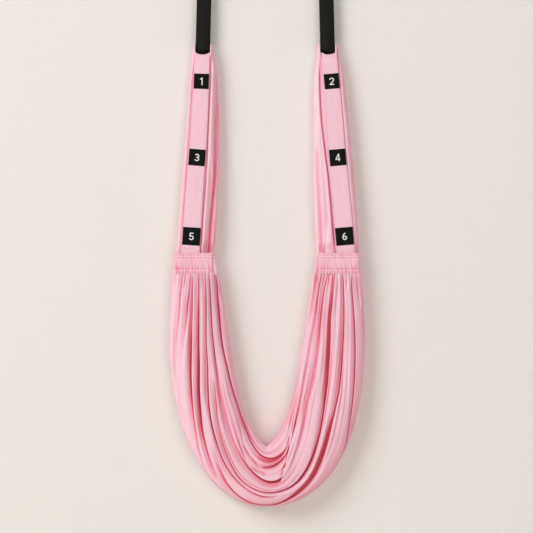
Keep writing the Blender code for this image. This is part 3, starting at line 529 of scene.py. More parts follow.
def add_ring_uvs(mesh, rings):
    """UVs in metres: u round the ring and v along the rows, which follow the cloth."""
    rows, columns, _ = rings.shape
    closed = np.concatenate([rings, rings[:, :1]], axis=1)
    around = np.zeros((rows, columns + 1))
    around[:, 1:] = np.cumsum(np.linalg.norm(np.diff(closed, axis=1), axis=2), axis=1)
    middle = around[rows // 2]
    middles = rings.mean(axis=1)
    along = lengths_along(middles)
    layer = mesh.uv_layers.new(name="cloth")
    k = np.tile(np.arange(columns), rows - 1)
    r = np.repeat(np.arange(rows - 1), columns)
    u = np.stack([middle[k], middle[k + 1], middle[k + 1], middle[k]], axis=-1)
    v = np.stack([along[r], along[r], along[r + 1], along[r + 1]], axis=-1)
    uvs = np.zeros((len(mesh.loops), 2))
    uvs[: u.size, 0] = u.ravel() / 1000
    uvs[: v.size, 1] = v.ravel() / 1000
    layer.data.foreach_set("uv", uvs.ravel())


def joined_tubes(name, tubes):
    """One mesh of several closed tubes, each given by its rings of points."""
    vertices, faces = [], []
    for rings in tubes:
        faces += skin_faces(*rings.shape[:2], first=len(vertices))
        vertices += (rings.reshape(-1, 3) / 1000).tolist()
    mesh = bpy.data.meshes.new(name)
    mesh.from_pydata(vertices, [], faces)
    return mesh


def edit_mesh(mesh, edit):
    """Change a mesh by a function of its bmesh."""
    bm = bmesh.new()
    bm.from_mesh(mesh)
    edit(bm)
    bm.to_mesh(mesh)
    bm.free()


def face_outwards(mesh):
    edit_mesh(mesh, lambda bm: bmesh.ops.recalc_face_normals(bm, faces=bm.faces))


def add_object(name, data):
    thing = bpy.data.objects.new(name, data)
    bpy.context.collection.objects.link(thing)
    return thing


def add_piece(name, mesh, material, body, replaces=(), sharp_deg=None):
    """A finished piece of the object, which rides on a body."""
    face_outwards(mesh)
    mesh.shade_smooth()
    if sharp_deg:
        mesh.set_sharp_from_angle(angle=math.radians(sharp_deg))
    mesh.materials.append(material)
    piece = add_object(name, mesh)
    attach(piece, body)
    if replaces:
        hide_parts(*replaces)
    return piece


def weld(mesh):
    """Join the points where a skin's last ring meets its first."""
    edit_mesh(mesh, lambda bm: bmesh.ops.remove_doubles(bm, verts=bm.verts, dist=1e-6))


def set_attributes(mesh, **values):
    """Numbers at each point of a mesh, for its material to read."""
    for name, numbers in values.items():
        attribute = mesh.attributes.new(name, "FLOAT", "POINT")
        attribute.data.foreach_set("value", np.asarray(numbers, np.float32).ravel())


# Materials


def new_material(name, roughness, metallic=0.0, specular=0.5):
    material = bpy.data.materials.new(name)
    material.use_nodes = True
    tree = material.node_tree
    shader = tree.nodes["Principled BSDF"]
    shader.inputs["Roughness"].default_value = roughness
    shader.inputs["Metallic"].default_value = metallic
    shader.inputs["Specular IOR Level"].default_value = specular
    return material, tree, shader


def feed(tree, socket, value):
    """Give a socket another node's output, or a number or colour."""
    if isinstance(value, bpy.types.NodeSocket):
        tree.links.new(value, socket)
    else:
        socket.default_value = value


def add_node(tree, kind, settings=None, **inputs):
    """A shader node with its settings, whose inputs are numbers, colours or other nodes' outputs."""
    made = tree.nodes.new(kind)
    for key, value in (settings or {}).items():
        setattr(made, key, value)
    for key, value in inputs.items():
        feed(tree, made.inputs[key.replace("_", " ")], value)
    return made


def math_node(tree, operation, first, second=0.0, third=0.0):
    made = add_node(tree, "ShaderNodeMath", {"operation": operation})
    for socket, value in zip(made.inputs, (first, second, third)):
        feed(tree, socket, value)
    return made.outputs[0]


def mix_colour(tree, factor, first, second):
    """A colour between two, by its share of the second."""
    made = add_node(tree, "ShaderNodeMix", {"data_type": "RGBA"})
    for name, value in (("Factor_Float", factor), ("A_Color", first), ("B_Color", second)):
        feed(tree, next(s for s in made.inputs if s.identifier == name), value)
    return next(s for s in made.outputs if s.identifier == "Result_Color")


def noise(tree, place, scale, detail):
    return add_node(tree, "ShaderNodeTexNoise", Vector=place, Scale=scale, Detail=detail).outputs["Fac"]


def waves(tree, place, direction, scale, distortion=0.0):
    """Even ribs across one direction of a texture's space."""
    settings = {"bands_direction": direction}
    inputs = {"Vector": place, "Scale": scale, "Distortion": distortion}
    return add_node(tree, "ShaderNodeTexWave", settings, **inputs).outputs["Fac"]


def mapped(tree, place, **how):
    return add_node(tree, "ShaderNodeMapping", Vector=place, **how).outputs["Vector"]


def clamp(tree, value):
    return add_node(tree, "ShaderNodeClamp", Value=value).outputs["Result"]


def raise_surface(tree, shader, height, strength, distance):
    """Fine relief, by a height from 0 to 1 and a distance in metres."""
    relief = add_node(tree, "ShaderNodeBump", Height=height, Strength=strength, Distance=distance)
    tree.links.new(relief.outputs["Normal"], shader.inputs["Normal"])


def mix_shaders(tree, share, first, second, output="Material Output"):
    """Show the first shader where a share is 0 and the second where it is 1."""
    mixed = tree.nodes.new("ShaderNodeMixShader")
    for socket, value in zip(mixed.inputs, (share, first, second)):
        tree.links.new(value, socket)
    tree.links.new(mixed.outputs[0], tree.nodes[output].inputs["Surface"])


def srgb(red, green, blue):
    """A colour from its 0 to 255 screen values."""
    levels = np.array((red, green, blue)) / 255
    linear = np.where(levels <= 0.04045, levels / 12.92, ((levels + 0.055) / 1.055) ** 2.4)
    return (*linear.tolist(), 1.0)


def darker(colour, share):
    return tuple(share * level for level in colour[:3]) + (1.0,)


# Colours of the cloth: its own pink, then painted shade for its folds down to the deepest; of the other
# pieces; the painted highlight on the crests, which also tints the real sheen; and how uneven the colours are
PINK = srgb(246, 199, 213)
# Painted shade for the folds and for their deepest lines, and the share of painted shade at which the one
# gives way to the other
PAINTED_SHADE_PINK = srgb(238, 124, 148)
PAINTED_DEEPEST_SHADE_PINK = srgb(216, 96, 114)
MID_FOLD = 0.6
PINK_BAND = srgb(244, 198, 212)
# Painted highlight colour on the crests, also the tint of the real sheen
HIGHLIGHT_AND_SHEEN_PINK = srgb(255, 222, 229)
BLACK = srgb(20, 20, 18)
LABEL_BLACK = srgb(13, 13, 12)
NUMERAL_WHITE = srgb(238, 238, 236)
STREAK_TONE, PATCH_TONE = 0.35, 0.3
# How far the painted highlight goes towards its colour
CREST_PAINTED_HIGHLIGHT = 0.55


def cloth_material(name, colour, bump):
    """Fine knitted cloth: ribs along its length, faint streaks, painted shade deeper down in the folds and
    painted highlights on the crests.
    """
    material, tree, shader = new_material(name, 0.75, specular=0.05)
    shader.inputs["Sheen Weight"].default_value = 0.02
    shader.inputs["Sheen Roughness"].default_value = 0.45
    shader.inputs["Sheen Tint"].default_value = HIGHLIGHT_AND_SHEEN_PINK
    uv = add_node(tree, "ShaderNodeUVMap", {"uv_map": "cloth"}).outputs["UV"]
    streaks = noise(tree, mapped(tree, uv, Scale=(420, 9, 1)), 1.0, 3.0)
    patches = noise(tree, mapped(tree, uv, Scale=(24, 10, 1)), 1.0, 2.0)
    # The "fold" attribute holds each point's painted shade, the other one its painted highlight
    settings = ({"attribute_name": "fold"}, {"attribute_name": "crest"})
    fold, crest = (add_node(tree, "ShaderNodeAttribute", each).outputs["Fac"] for each in settings)
    streaky = math_node(tree, "MULTIPLY_ADD", streaks, STREAK_TONE, -STREAK_TONE / 2)
    patchy = math_node(tree, "MULTIPLY_ADD", patches, PATCH_TONE, -PATCH_TONE / 2)
    # Painted shade from the fold attribute, with random streaks and patches of uneven tone
    tone = clamp(tree, math_node(tree, "ADD", fold, math_node(tree, "ADD", streaky, patchy)))
    in_folds = clamp(tree, math_node(tree, "MULTIPLY", tone, 1 / MID_FOLD))
    deepest = math_node(tree, "MULTIPLY_ADD", tone, 1 / (1 - MID_FOLD), -MID_FOLD / (1 - MID_FOLD))
    # Painted highlight on the crests, then painted shade in the folds and painted deepest shade in their
    # narrowest lines
    painted_lit = mix_colour(tree, math_node(tree, "MULTIPLY", crest, CREST_PAINTED_HIGHLIGHT), colour, HIGHLIGHT_AND_SHEEN_PINK)
    painted_shaded = mix_colour(tree, in_folds, painted_lit, PAINTED_SHADE_PINK)
    painted_deepened = mix_colour(tree, clamp(tree, deepest), painted_shaded, PAINTED_DEEPEST_SHADE_PINK)
    tree.links.new(painted_deepened, shader.inputs["Base Color"])
    ribs = waves(tree, uv, "X", 260.0, 0.6)
    loops = waves(tree, uv, "Y", 330.0, 0.6)
    height = math_node(tree, "MULTIPLY_ADD", loops, 0.5, ribs)
    height = math_node(tree, "MULTIPLY_ADD", streaks, 1.6, height)
    raise_surface(tree, shader, height, bump, 0.0004)
    return material


# Sling


def edge_line(edge, side):
    """Even points along an edge of the sling, from a casing to the middle, as (x, z) in millimetres."""
    handles = SLING_EDGES[edge][0 if side < 0 else 1]
    corners = [Vector((x, 0, CROWN_Z - drop)) for x, drop in handles]
    points = np.array([tuple(p) for p in interpolate_bezier(*corners, 300)])[:, [0, 2]]
    along = lengths_along(points)
    return points, along / along[-1]


EDGE_LINES = {(edge, side): edge_line(edge, side) for edge in ("outer", "inner") for side in (-1, 1)}


def edge_places(edge, t):
    """Points on an edge of the sling at places t, 0 at the left casing and 2 at the right one."""
    left, right = (places_on(*EDGE_LINES[edge, side], at) for side, at in ((-1, t), (1, 2 - t)))
    return np.where((t <= 1)[..., None], left, right)


def sling_place(x, drop):
    """The (t, w) of a place on the sling's front."""
    t = np.linspace(0, 2, 1601)
    outer, inner = edge_places("outer", t), edge_places("inner", t)
    across = inner - outer
    to_place = np.array((x, CROWN_Z - drop)) - outer
    length = np.linalg.norm(across, axis=1)
    w = (to_place * across).sum(axis=1) / length**2
    off = np.abs(across[:, 0] * to_place[:, 1] - across[:, 1] * to_place[:, 0]) / length
    off += 1000 * ((w < -0.1) | (w > 1.1)) + 1000 * ((t <= 1) != (x < SLING_MIDDLE_X))
    best = int(np.argmin(off))
    return t[best], w[best]


def read_valley(valley, t):
    """Place across, depth and crispness of a valley at each place t."""
    found = sorted((*sling_place(x, drop), depth, crisp) for x, drop, depth, crisp in valley["points"])
    places = sorted([(row[0], row[1]) for row in found] + list(valley["unseen"]))
    seen, _, depth, crisp = zip(*found)
    return smooth_through(*zip(*places), t), steady_through(seen, depth, t), steady_through(seen, crisp, t)


def smooth_rows(values, passes):
    """Values eased along the rows, the first and last held."""
    for _ in range(passes):
        inner = (values[:-2] + 2 * values[1:-1] + values[2:]) / 4
        values = np.concatenate([values[:1], inner, values[-1:]])
    return values


def fold_profile(distance, crisp, lean=0.0, flat=0.0):
    """Share of a valley's depth beside its line. Distances run towards the inner edge. A lean widens one
    flank and narrows the other, and a flat floor widens the valley on the inner side."""
    distance = np.where(distance > 0, np.maximum(distance - flat, 0), distance)
    stretch = np.where(distance > 0, 1 + lean, 1 - lean)
    narrow = np.exp(-(np.sqrt(distance**2 + VALLEY_ROUNDING**2) - VALLEY_ROUNDING) / NARROW_WIDTH)
    broad = bulge(distance, BROAD_WIDTH * stretch)
    soft = bulge(distance, SOFT_WIDTH * (1 + stretch) / 2)
    return crisp * (NARROW_SHARE * narrow + (1 - NARROW_SHARE) * broad) + (1 - crisp) * soft


def lip_profile(distance, crisp, lean, flat=0.0):
    """Height of the rolled lip on the steep side of a valley."""
    beside = distance * np.sign(-lean)
    beside = np.where(distance > 0, beside - flat, beside)
    return crisp * np.abs(lean) * bulge(beside - LIP_PLACE, LIP_WIDTH)


def fold_painted_shade(depth):
    """Painted shade: how far a point's colour goes towards the painted shade colours, by how deep in a fold
    it lies.
    """
    return 0.28 * ease(1.0, 5.5, depth) + 0.32 * ease(4.2, 8, depth) + 0.4 * ease(7, 10.5, depth)


def tuck_depth(tuck, x, z):
    """Depth of a short tuck at places in the front view."""
    line, depth = drawn_line(tuck, 40)
    near = within_reach(x, z, line, (90, 110))
    away = np.hypot(x[near][:, None] - line[:, 0], z[near][:, None] - line[:, 1])
    out = np.zeros_like(x)
    out[near] = (depth * np.exp(-away / TUCK_WIDTH)).max(axis=1)
    return out


def overlap_share(x, z):
    """How far a place lies on the fold that hangs over the scoops, strongest at that fold's edge."""
    line, strength = drawn_line(OVERLAP, 60)
    heading = headings(line)
    near = within_reach(x, z, line, (70, 120))
    place = np.stack([x[near], z[near]], axis=1)
    to_place = place[:, None] - line
    nearest = np.linalg.norm(to_place, axis=2).argmin(axis=1)
    beside = to_place[np.arange(len(place)), nearest]
    beside = heading[nearest, 0] * beside[:, 1] - heading[nearest, 1] * beside[:, 0]
    out = np.zeros_like(x)
    out[near] = strength[nearest] * ease(-0.8, 1.6, beside) * bulge(beside, OVERLAP_REACH)
    return out


def valley_lines(t):
    """Where the valleys lie across the sling at places t, kept in order, with their depths and crispness."""
    lines, depths, crisps = (np.array(rows) for rows in zip(*(read_valley(valley, t) for valley in VALLEYS)))
    for k in range(len(lines) - 2, -1, -1):
        lines[k] = np.minimum(lines[k], lines[k + 1] - LEAST_STRIP)
    for k in range(len(lines)):
        lines[k] = np.maximum(lines[k], LEAST_STRIP * (k + 1))
    return np.array([smooth_rows(line, 3) for line in lines]), depths, crisps


def columns_between(stops, shares):
    """Places across a skin, from each stop to the next, at the shares given for each strip."""
    strips = zip(stops[:-1], stops[1:], shares, strict=True)
    return np.concatenate([low * (1 - share) + high * share for low, high, share in strips], axis=1)


def strip_columns_between(stops, count):
    """Places across, from stop to stop, closer together beside each stop. Also each one's strip and share."""
    edge = (1 - np.cos(math.pi * np.arange(count) / count)) / 2
    shares = [edge, *[clustered(count)] * (len(stops) - 3), edge]
    places = np.concatenate([k + share for k, share in enumerate(shares)])
    return columns_between(stops[..., None], shares), places


def creases(rng, t, strip_places, widths):
    """Small creases between the valleys that come and go along the cloth."""
    out = np.zeros((len(t), len(strip_places)))
    for k in range(widths.shape[0]):
        inside = (strip_places >= k) & (strip_places < k + 1)
        share = strip_places[inside] - k
        for _ in range(int(widths[k].max() / CREASE_SPACING)):
            wander, turn, start, pace = rng.uniform(0.02, 0.09), *rng.uniform((2, 0, 3), (6, 6, 8))
            place = rng.uniform(0.12, 0.88) + wander * np.sin(turn * t + start)
            strength = np.clip(np.sin(pace * t + rng.uniform(0, 6)) + rng.uniform(-0.2, 0.6), 0, 1)
            depth = rng.uniform(0.4, 1.0) * CREASE_DEPTH * strength * ease(5, 14, widths[k])
            beside = (share[None] - place[:, None]) * widths[k][:, None]
            wide = np.where(beside > 0, rng.uniform(0.9, 2.0), rng.uniform(1.4, 4.5))
            out[:, inside] += depth[:, None] * bulge(beside, wide)
    return out


def kept_at_neck(from_end, reach):
    """Share of a fold's depth that it has near a casing, where the cloth has to meet the casing's edge."""
    return NECK_SUNK + (1 - NECK_SUNK) * ease(0, reach, from_end)


def neck_pleats(rng, t, strip_places, widths):
    """Narrow pleats below the casings, which fade out down the cloth."""
    out = np.zeros((len(t), len(strip_places)))
    for end in (t, 2 - t):
        for k in range(widths.shape[0]):
            inside = (strip_places >= k) & (strip_places < k + 1)
            share = strip_places[inside] - k
            at_neck = widths[k][int(np.argmin(end))]
            for place in np.arange(1, at_neck / NECK_PLEAT)[:12] * NECK_PLEAT / at_neck:
                place += rng.uniform(-0.3, 0.3) * NECK_PLEAT / at_neck
                fade = ease(rng.uniform(0.06, 0.2), 0, end) * kept_at_neck(end, 0.03)
                beside = (share[None] - place) * widths[k][:, None]
                depth = rng.uniform(2.0, 4.5) * fade[:, None]
                out[:, inside] += depth * np.exp(-np.abs(beside) / rng.uniform(0.9, 1.5))
    return out


def streaks(rng, across, t, cell, length):
    """Random ridges along the cloth, from -1 to 1, as wide as a cell (mm) and as long as a share of it."""
    table = rng.uniform(-1, 1, (int(across.max() / cell) + 3, int(2 / length) + 3))
    u, v = np.broadcast_arrays(across / cell, (t / length)[:, None])
    i, j = u.astype(int), v.astype(int)
    pu, pv = ease(0, 1, u - i), ease(0, 1, v - j)
    low = table[i, j] * (1 - pv) + table[i, j + 1] * pv
    high = table[i + 1, j] * (1 - pv) + table[i + 1, j + 1] * pv
    return low * (1 - pu) + high * pu


def eased_middle(xz, w, mid_t):
    """Lines of cloth rounded at the bottom of the sling, where its edges turn, the inner one sharply."""
    passes = (len(xz) / 560) ** 2
    barely = smooth_rows(xz, round(INNER_EASING * passes))
    eased = smooth_rows(xz, round(LINE_EASING * passes))
    eased = barely + (eased - barely) * ease(1.0, 0.85, w)[..., None]
    return xz + (eased - xz) * ease(0.55, 0.75, mid_t)[:, None, None]


def held(sunk, hull, share):
    """Depths eased so that no fold goes deeper than a share of the section's own half depth."""
    return sunk * np.tanh(share * hull / np.maximum(sunk, 0.01))


def back_folds(hull, width, w, lines, depths):
    """Depth of the soft folds on a back, along lines across it."""
    total = 0
    for line, depth in zip(lines, depths):
        total += (depth * fold_profile((w - line) * width, BACK_CRISPNESS)) ** VALLEY_UNION
    return held(total ** (1 / VALLEY_UNION), hull, BACK_HELD)


def valley_relief(t, w, xz, width, widths, valleys):
    """How far the valleys and tucks lower the sling's front, its rolled lips, and how much painted shade each
    point takes.
    widths are those of the strips between the valleys."""
    total, lips, shade = (np.zeros_like(w) for _ in range(3))
    lean = steady_through(LEAN_PLACES, LEANS, t)[:, None]
    room = np.clip(widths / FULL_ROOM, LEAST_ROOM, 1)[..., None]
    for k, (valley, line, depth, crisp) in enumerate(zip(VALLEYS, *valleys)):
        depth, crisp = depth[:, None], crisp[:, None]
        distance = (w - line[:, None]) * width
        distance = distance / np.where(distance > 0, room[k + 1], room[k])
        flat = steady_through(*zip(*valley["flat"]), t)[:, None] if "flat" in valley else 0.0
        lowered = depth * fold_profile(distance, crisp, lean, flat)
        total += lowered**VALLEY_UNION
        # Painted shade in each valley, lighter in soft ones, and in each tuck
        shade = np.maximum(shade, lowered * (SOFT_PAINTED_SHADE + (1 - SOFT_PAINTED_SHADE) * crisp))
        lips = np.maximum(lips, lip_profile(distance, crisp, lean, flat) * np.clip(depth / 8, 0, 1))
    for tuck in TUCKS:
        lowered = tuck_depth(tuck, xz[..., 0], xz[..., 1])
        total += lowered**VALLEY_UNION
        shade = np.maximum(shade, lowered)
    return total ** (1 / VALLEY_UNION), lips, shade


def small_relief(t, w, width, widths, strip_places):
    """Creases, pleats and streaks of the sling's front. Where a strip is pinched, its streaks fade."""
    rng = np.random.default_rng(SLING_SEED)
    small = creases(rng, t, strip_places, widths)
    pleats = neck_pleats(rng, t, strip_places, widths)
    pinch = np.clip(widths / np.quantile(widths, 0.6, axis=1)[:, None], 0, 1)[strip_places.astype(int)].T
    run = np.cumsum(np.concatenate([[0], np.median(np.diff(w * width, axis=1), axis=0)]))[None]
    for cell, length, height in STREAKS:
        small += height * streaks(rng, run, t, cell, length) * pinch
    return small, pleats


def sling_front(t, mid_t, outer, inner, width, strip_columns):
    """Places across the sling's front, their y, how much painted shade each takes, and where the painted
    crest highlights go.
    """
    valleys = valley_lines(t)
    stops = np.concatenate([np.zeros((1, len(t))), valleys[0], np.ones((1, len(t)))])
    w, strip_places = strip_columns_between(stops, strip_columns)
    xz = outer[:, None] * (1 - w[..., None]) + inner[:, None] * w[..., None]
    widths = np.diff(stops, axis=0) * width[:, 0]
    sunk, lips, shade = valley_relief(t, w, xz, width, widths, valleys)
    sunk *= kept_at_neck(mid_t, 0.04)[:, None]
    # Painted shade along the inner rim near the bottom of the sling
    rim = ease(0.86, 0.95, w) * (ease(1.0, 1.06, t) * ease(1.6, 1.3, t))[:, None]
    shade = np.maximum(shade, RIM_PAINTED_SHADE * rim)
    over = overlap_share(xz[..., 0], xz[..., 1])
    sunk, lips, shade = (part * (1 - over) for part in (sunk, lips, shade))

    at_neck = np.interp(mid_t, NECK_PLACES, NECK_DEPTHS)
    half = np.where(mid_t > DEPTH_PLACES[0], smooth_through(DEPTH_PLACES, FRONT_DEPTHS, mid_t), at_neck)
    hull = half[:, None] * round_share(w, ROUNDNESS + NECK_SQUARENESS * np.exp(-mid_t / 0.02)[:, None])
    sunk = held(sunk, hull, SLING_HELD)
    small, pleats = small_relief(t, w, width, widths, strip_places)
    swell = 0.8 * np.sin(9 * math.pi * t[:, None] + 11 * w) + 0.5 * np.sin(17 * t[:, None] - 23 * w)
    lips *= 1 - np.clip(sunk / 12, 0, 1)
    risen = LIP_RISE * lips + OVERLAP_LIFT * over
    y = -hull + sunk + (swell * 0.6 + small + pleats - risen) * round_share(w, 2)
    # Painted shade also in the small creases and the neck's pleats, less of it near the necks; painted
    # highlight on the lips and small ridges
    shade = (shade + 1.4 * np.maximum(small, 0)) * (0.62 + 0.38 * ease(0.03, 0.2, mid_t))[:, None]
    return w, y, shade + 0.6 * pleats, np.clip(lips - 0.5 * small, 0, 1)


def sling_back(t, mid_t, width, columns):
    """Places across the sling's back, their y, and how deep in a fold each lies."""
    w = np.tile((1 + np.cos(math.pi * np.arange(columns) / columns)) / 2, (len(t), 1))
    hull = smooth_through(DEPTH_PLACES, BACK_DEPTHS, mid_t)[:, None] * round_share(w, ROUNDNESS)
    t, folds = t[:, None], list(enumerate(np.linspace(0.1, 0.9, 8)))
    lines = [place + 0.02 * np.sin(5 * t + 2.1 * k) + 0.012 * np.sin(11 * t + k) for k, place in folds]
    sunk = back_folds(hull, width, w, lines, [6 + 2 * np.sin(3 * t + 1.7 * k) for k, _ in folds])
    return w, hull - sunk, sunk


def sling_rings(rows, strip_columns, back_columns):
    """Rings of the sling's skin from neck to neck, how much painted shade each point takes, and its painted
    crest highlights.
    """
    at_neck = np.array((0.0006, 0.0012, 0.002, 0.003, 0.0045))
    t = np.concatenate([[0], at_neck, np.linspace(0.006, 1.994, rows - 12), 2 - at_neck[::-1], [2]])
    mid_t = np.minimum(t, 2 - t)
    outer, inner = edge_places("outer", t), edge_places("inner", t)
    straight = np.linalg.norm(inner - outer, axis=1)
    heading = headings((outer + inner) / 2)
    across = (inner - outer) / straight[:, None]
    slant = np.abs(across[:, 0] * heading[:, 1] - across[:, 1] * heading[:, 0])
    width = (straight * slant)[:, None]

    front_w, front_y, shade, crest = sling_front(t, mid_t, outer, inner, width, strip_columns)
    back_w, back_y, back_sunk = sling_back(t, mid_t, width, back_columns)
    w = np.concatenate([front_w, back_w], axis=1)
    y = np.concatenate([front_y, back_y], axis=1)
    xz = eased_middle(outer[:, None] * (1 - w[..., None]) + inner[:, None] * w[..., None], w, mid_t)
    depth = np.concatenate([shade, back_sunk], axis=1)
    crest = np.concatenate([crest, np.zeros_like(back_sunk)], axis=1)
    rings = np.stack([xz[..., 0], y, xz[..., 1]], axis=-1)
    left, right = (neck_rings(hand, w[-hand], y[-hand]) for hand in (0, 1))
    rings = np.concatenate([left, rings, right[::-1]])
    rows_up = ((len(left), len(right)), (0, 0))
    return rings, np.pad(depth, rows_up, mode="edge"), np.pad(crest, rows_up, mode="edge")


def neck_rings(hand, w, y):
    """Rings of the sling's gathered end, from inside the casing down to its bottom edge."""
    rings = []
    for drop in np.linspace(NECK_TOP_DROP, CASING_DROP, 16)[:-1]:
        down = (drop - NECK_TOP_DROP) / (CASING_DROP - NECK_TOP_DROP)
        ends = []
        for edge, part in (("outer", ease(0.4, 1, down)), ("inner", down)):
            high, low = NECK_EDGES[edge][hand], SLING_EDGES[edge][hand][0][0]
            ends.append(high + (low - high) * part)
        x = ends[0] * (1 - w) + ends[1] * w
        clamped = np.clip(y, -NECK_FRONT, NECK_BACK + 3)
        level = clamped + (y - clamped) * ease(CASING_DROP - 4, CASING_DROP + 1, drop)
        rings.append(np.stack([x, level, np.full_like(x, CROWN_Z - drop)], axis=1))
    return np.array(rings)


def ring_normals(rings):
    """Directions out of a skin at the points of its rings."""
    along = np.gradient(rings, axis=0)
    around = np.roll(rings, -1, axis=1) - np.roll(rings, 1, axis=1)
    normal = np.cross(along, around)
    normal /= np.maximum(np.linalg.norm(normal, axis=-1), 1e-9)[..., None]
    outward = ((rings - rings.mean(axis=1, keepdims=True)) * normal).sum()
    return normal if outward > 0 else -normal


def light_facing_level(rings):
    """How far a skin turns up and to the left, towards the light that its painted highlights and painted
    shade follow. The back counts as the front.
    """
    normal = ring_normals(rings)
    normal[..., 1] = -np.abs(normal[..., 1])
    return normal @ (np.array(PAINTED_LIGHT_SIDE) / np.linalg.norm(PAINTED_LIGHT_SIDE))


def turned_painted_shade(rings):
    """Painted shade: extra depth of colour where the cloth turns down or right, away from the light."""
    return TURNED_PAINTED_SHADE * np.clip(0.3 - light_facing_level(rings), 0, 1)


def lit_crests(rings, crest):
    """Painted crest highlights, kept only where the cloth turns towards the light."""
    return crest * ease(0.05, 0.4, light_facing_level(rings))


def lined(rings, thick, every):
    """Rings of a skin followed by those of its inner face, so that both together close a thin cloth."""
    inner = rings - ring_normals(rings) * thick
    picked = np.unique(np.concatenate([np.arange(0, len(rings), every), [len(rings) - 1]]))
    return np.concatenate([rings, inner[picked][::-1], rings[:1]]), picked


def make_sling(material):
    rings, depth, crest = sling_rings(*(((620, 26, 100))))
    closed, picked = lined(rings, CLOTH_THICK, 6)
    mesh = ring_mesh("sling", closed, "open")
    # Painted shade in the folds and where the cloth turns from the light, and painted highlights on its
    # crests
    tones = {"fold": fold_painted_shade(depth) + turned_painted_shade(rings), "crest": lit_crests(rings, crest)}
    lined_tones = {name: np.concatenate([tone, tone[picked][::-1], tone[:1]]) for name, tone in tones.items()}
    set_attributes(mesh, **lined_tones)
    weld(mesh)
    return add_piece("sling", mesh, material, "hammock", ["sling_cloth"])


# Arms


def bed_depth(drop):
    """How far forward the flat bed under the grip band lies. It draws in to enter the casing."""
    straight = BED_TOP + (BED_BOTTOM - BED_TOP) * drop / ARM_DROP
    return straight + (BED_NECK - straight) * ease(ARM_DROP - MOUTH_REACH, ARM_DROP, drop)


def band_width(drop):
    return BAND_WIDTHS[0] + (BAND_WIDTHS[1] - BAND_WIDTHS[0]) * drop / ARM_DROP


def band_middle(arm, drop):
    return smooth_through(*zip(*arm["band"]), drop)


def on_arm(arm, drop, offset, y):
    """Points at drops below the crown and offsets outwards from the middle of the strap."""
    drop, offset, y = np.broadcast_arrays(np.asarray(drop, float), offset, y)
    return np.stack([arm["side"] * (CROWN_X + offset), y, CROWN_Z - drop], axis=-1)


def casing_edges(arm, inset):
    half = arm["casing_width"] / 2 - inset
    return arm["casing_middle"] + half, arm["casing_middle"] - half


def arm_edges(arm, drop):
    """Outer and inner offsets of an arm, drawn together at its foot to enter the casing."""
    neck = ease(ARM_DROP - 2 * MOUTH_REACH, ARM_DROP, drop)
    outer = smooth_through(*zip(*arm["outer"]), drop)
    inner = -smooth_through(*zip(*arm["inner"]), drop)
    neck_outer, neck_inner = casing_edges(arm, CASING_FULL + 2 * SEAT_GAP)
    neck_inner = arm.get("foot_inner", neck_inner)
    return outer + (neck_outer - outer) * neck, inner + (neck_inner - inner) * neck


def arm_depths(drops):
    """Depths of an arm at drops below its crown: its fullest front, its bed and its back."""
    neck = ease(ARM_DROP - 2 * MOUTH_REACH, ARM_DROP, drops)
    horn = np.sqrt(np.maximum(HORN_RADIUS**2 - np.minimum(drops, 0) ** 2, 1))
    bed = bed_depth(np.maximum(drops, 0))
    fullest = np.where(drops < HORN_RADIUS, horn, bed + FOLD_RISE * ease(*FOLD_START, drops))
    bed = np.where(drops < HORN_RADIUS, horn, bed)
    back = np.where(drops < 0, horn, HORN_RADIUS + (ARM_BACK - HORN_RADIUS) * np.clip(drops / 100, 0, 1))
    return fullest + (NECK_FRONT - fullest) * neck, bed, back + (NECK_BACK - back) * neck


def arm_lines(arm, drops, outer, inner):
    """Offsets of the bed's edges, and of those edges and the valleys kept clear of the inner edge."""
    bed_out = np.minimum(smooth_through(*zip(*arm["bed_outer"]), drops), outer - 2.5)
    bed_in = np.maximum(smooth_through(*zip(*arm["bed_inner"]), drops), inner + 3)
    lines = [bed_out, bed_in]
    for valley in arm["valleys"]:
        lines.append(np.minimum(smooth_through(*zip(*valley["line"]), drops), lines[-1] - 1.5))
    floor = inner + LEAST_ARM_STRIP
    for k in range(len(lines) - 1, 0, -1):
        lines[k] = np.maximum(lines[k], floor)
        floor = lines[k] + LEAST_ARM_STRIP
    return bed_out, bed_in, lines


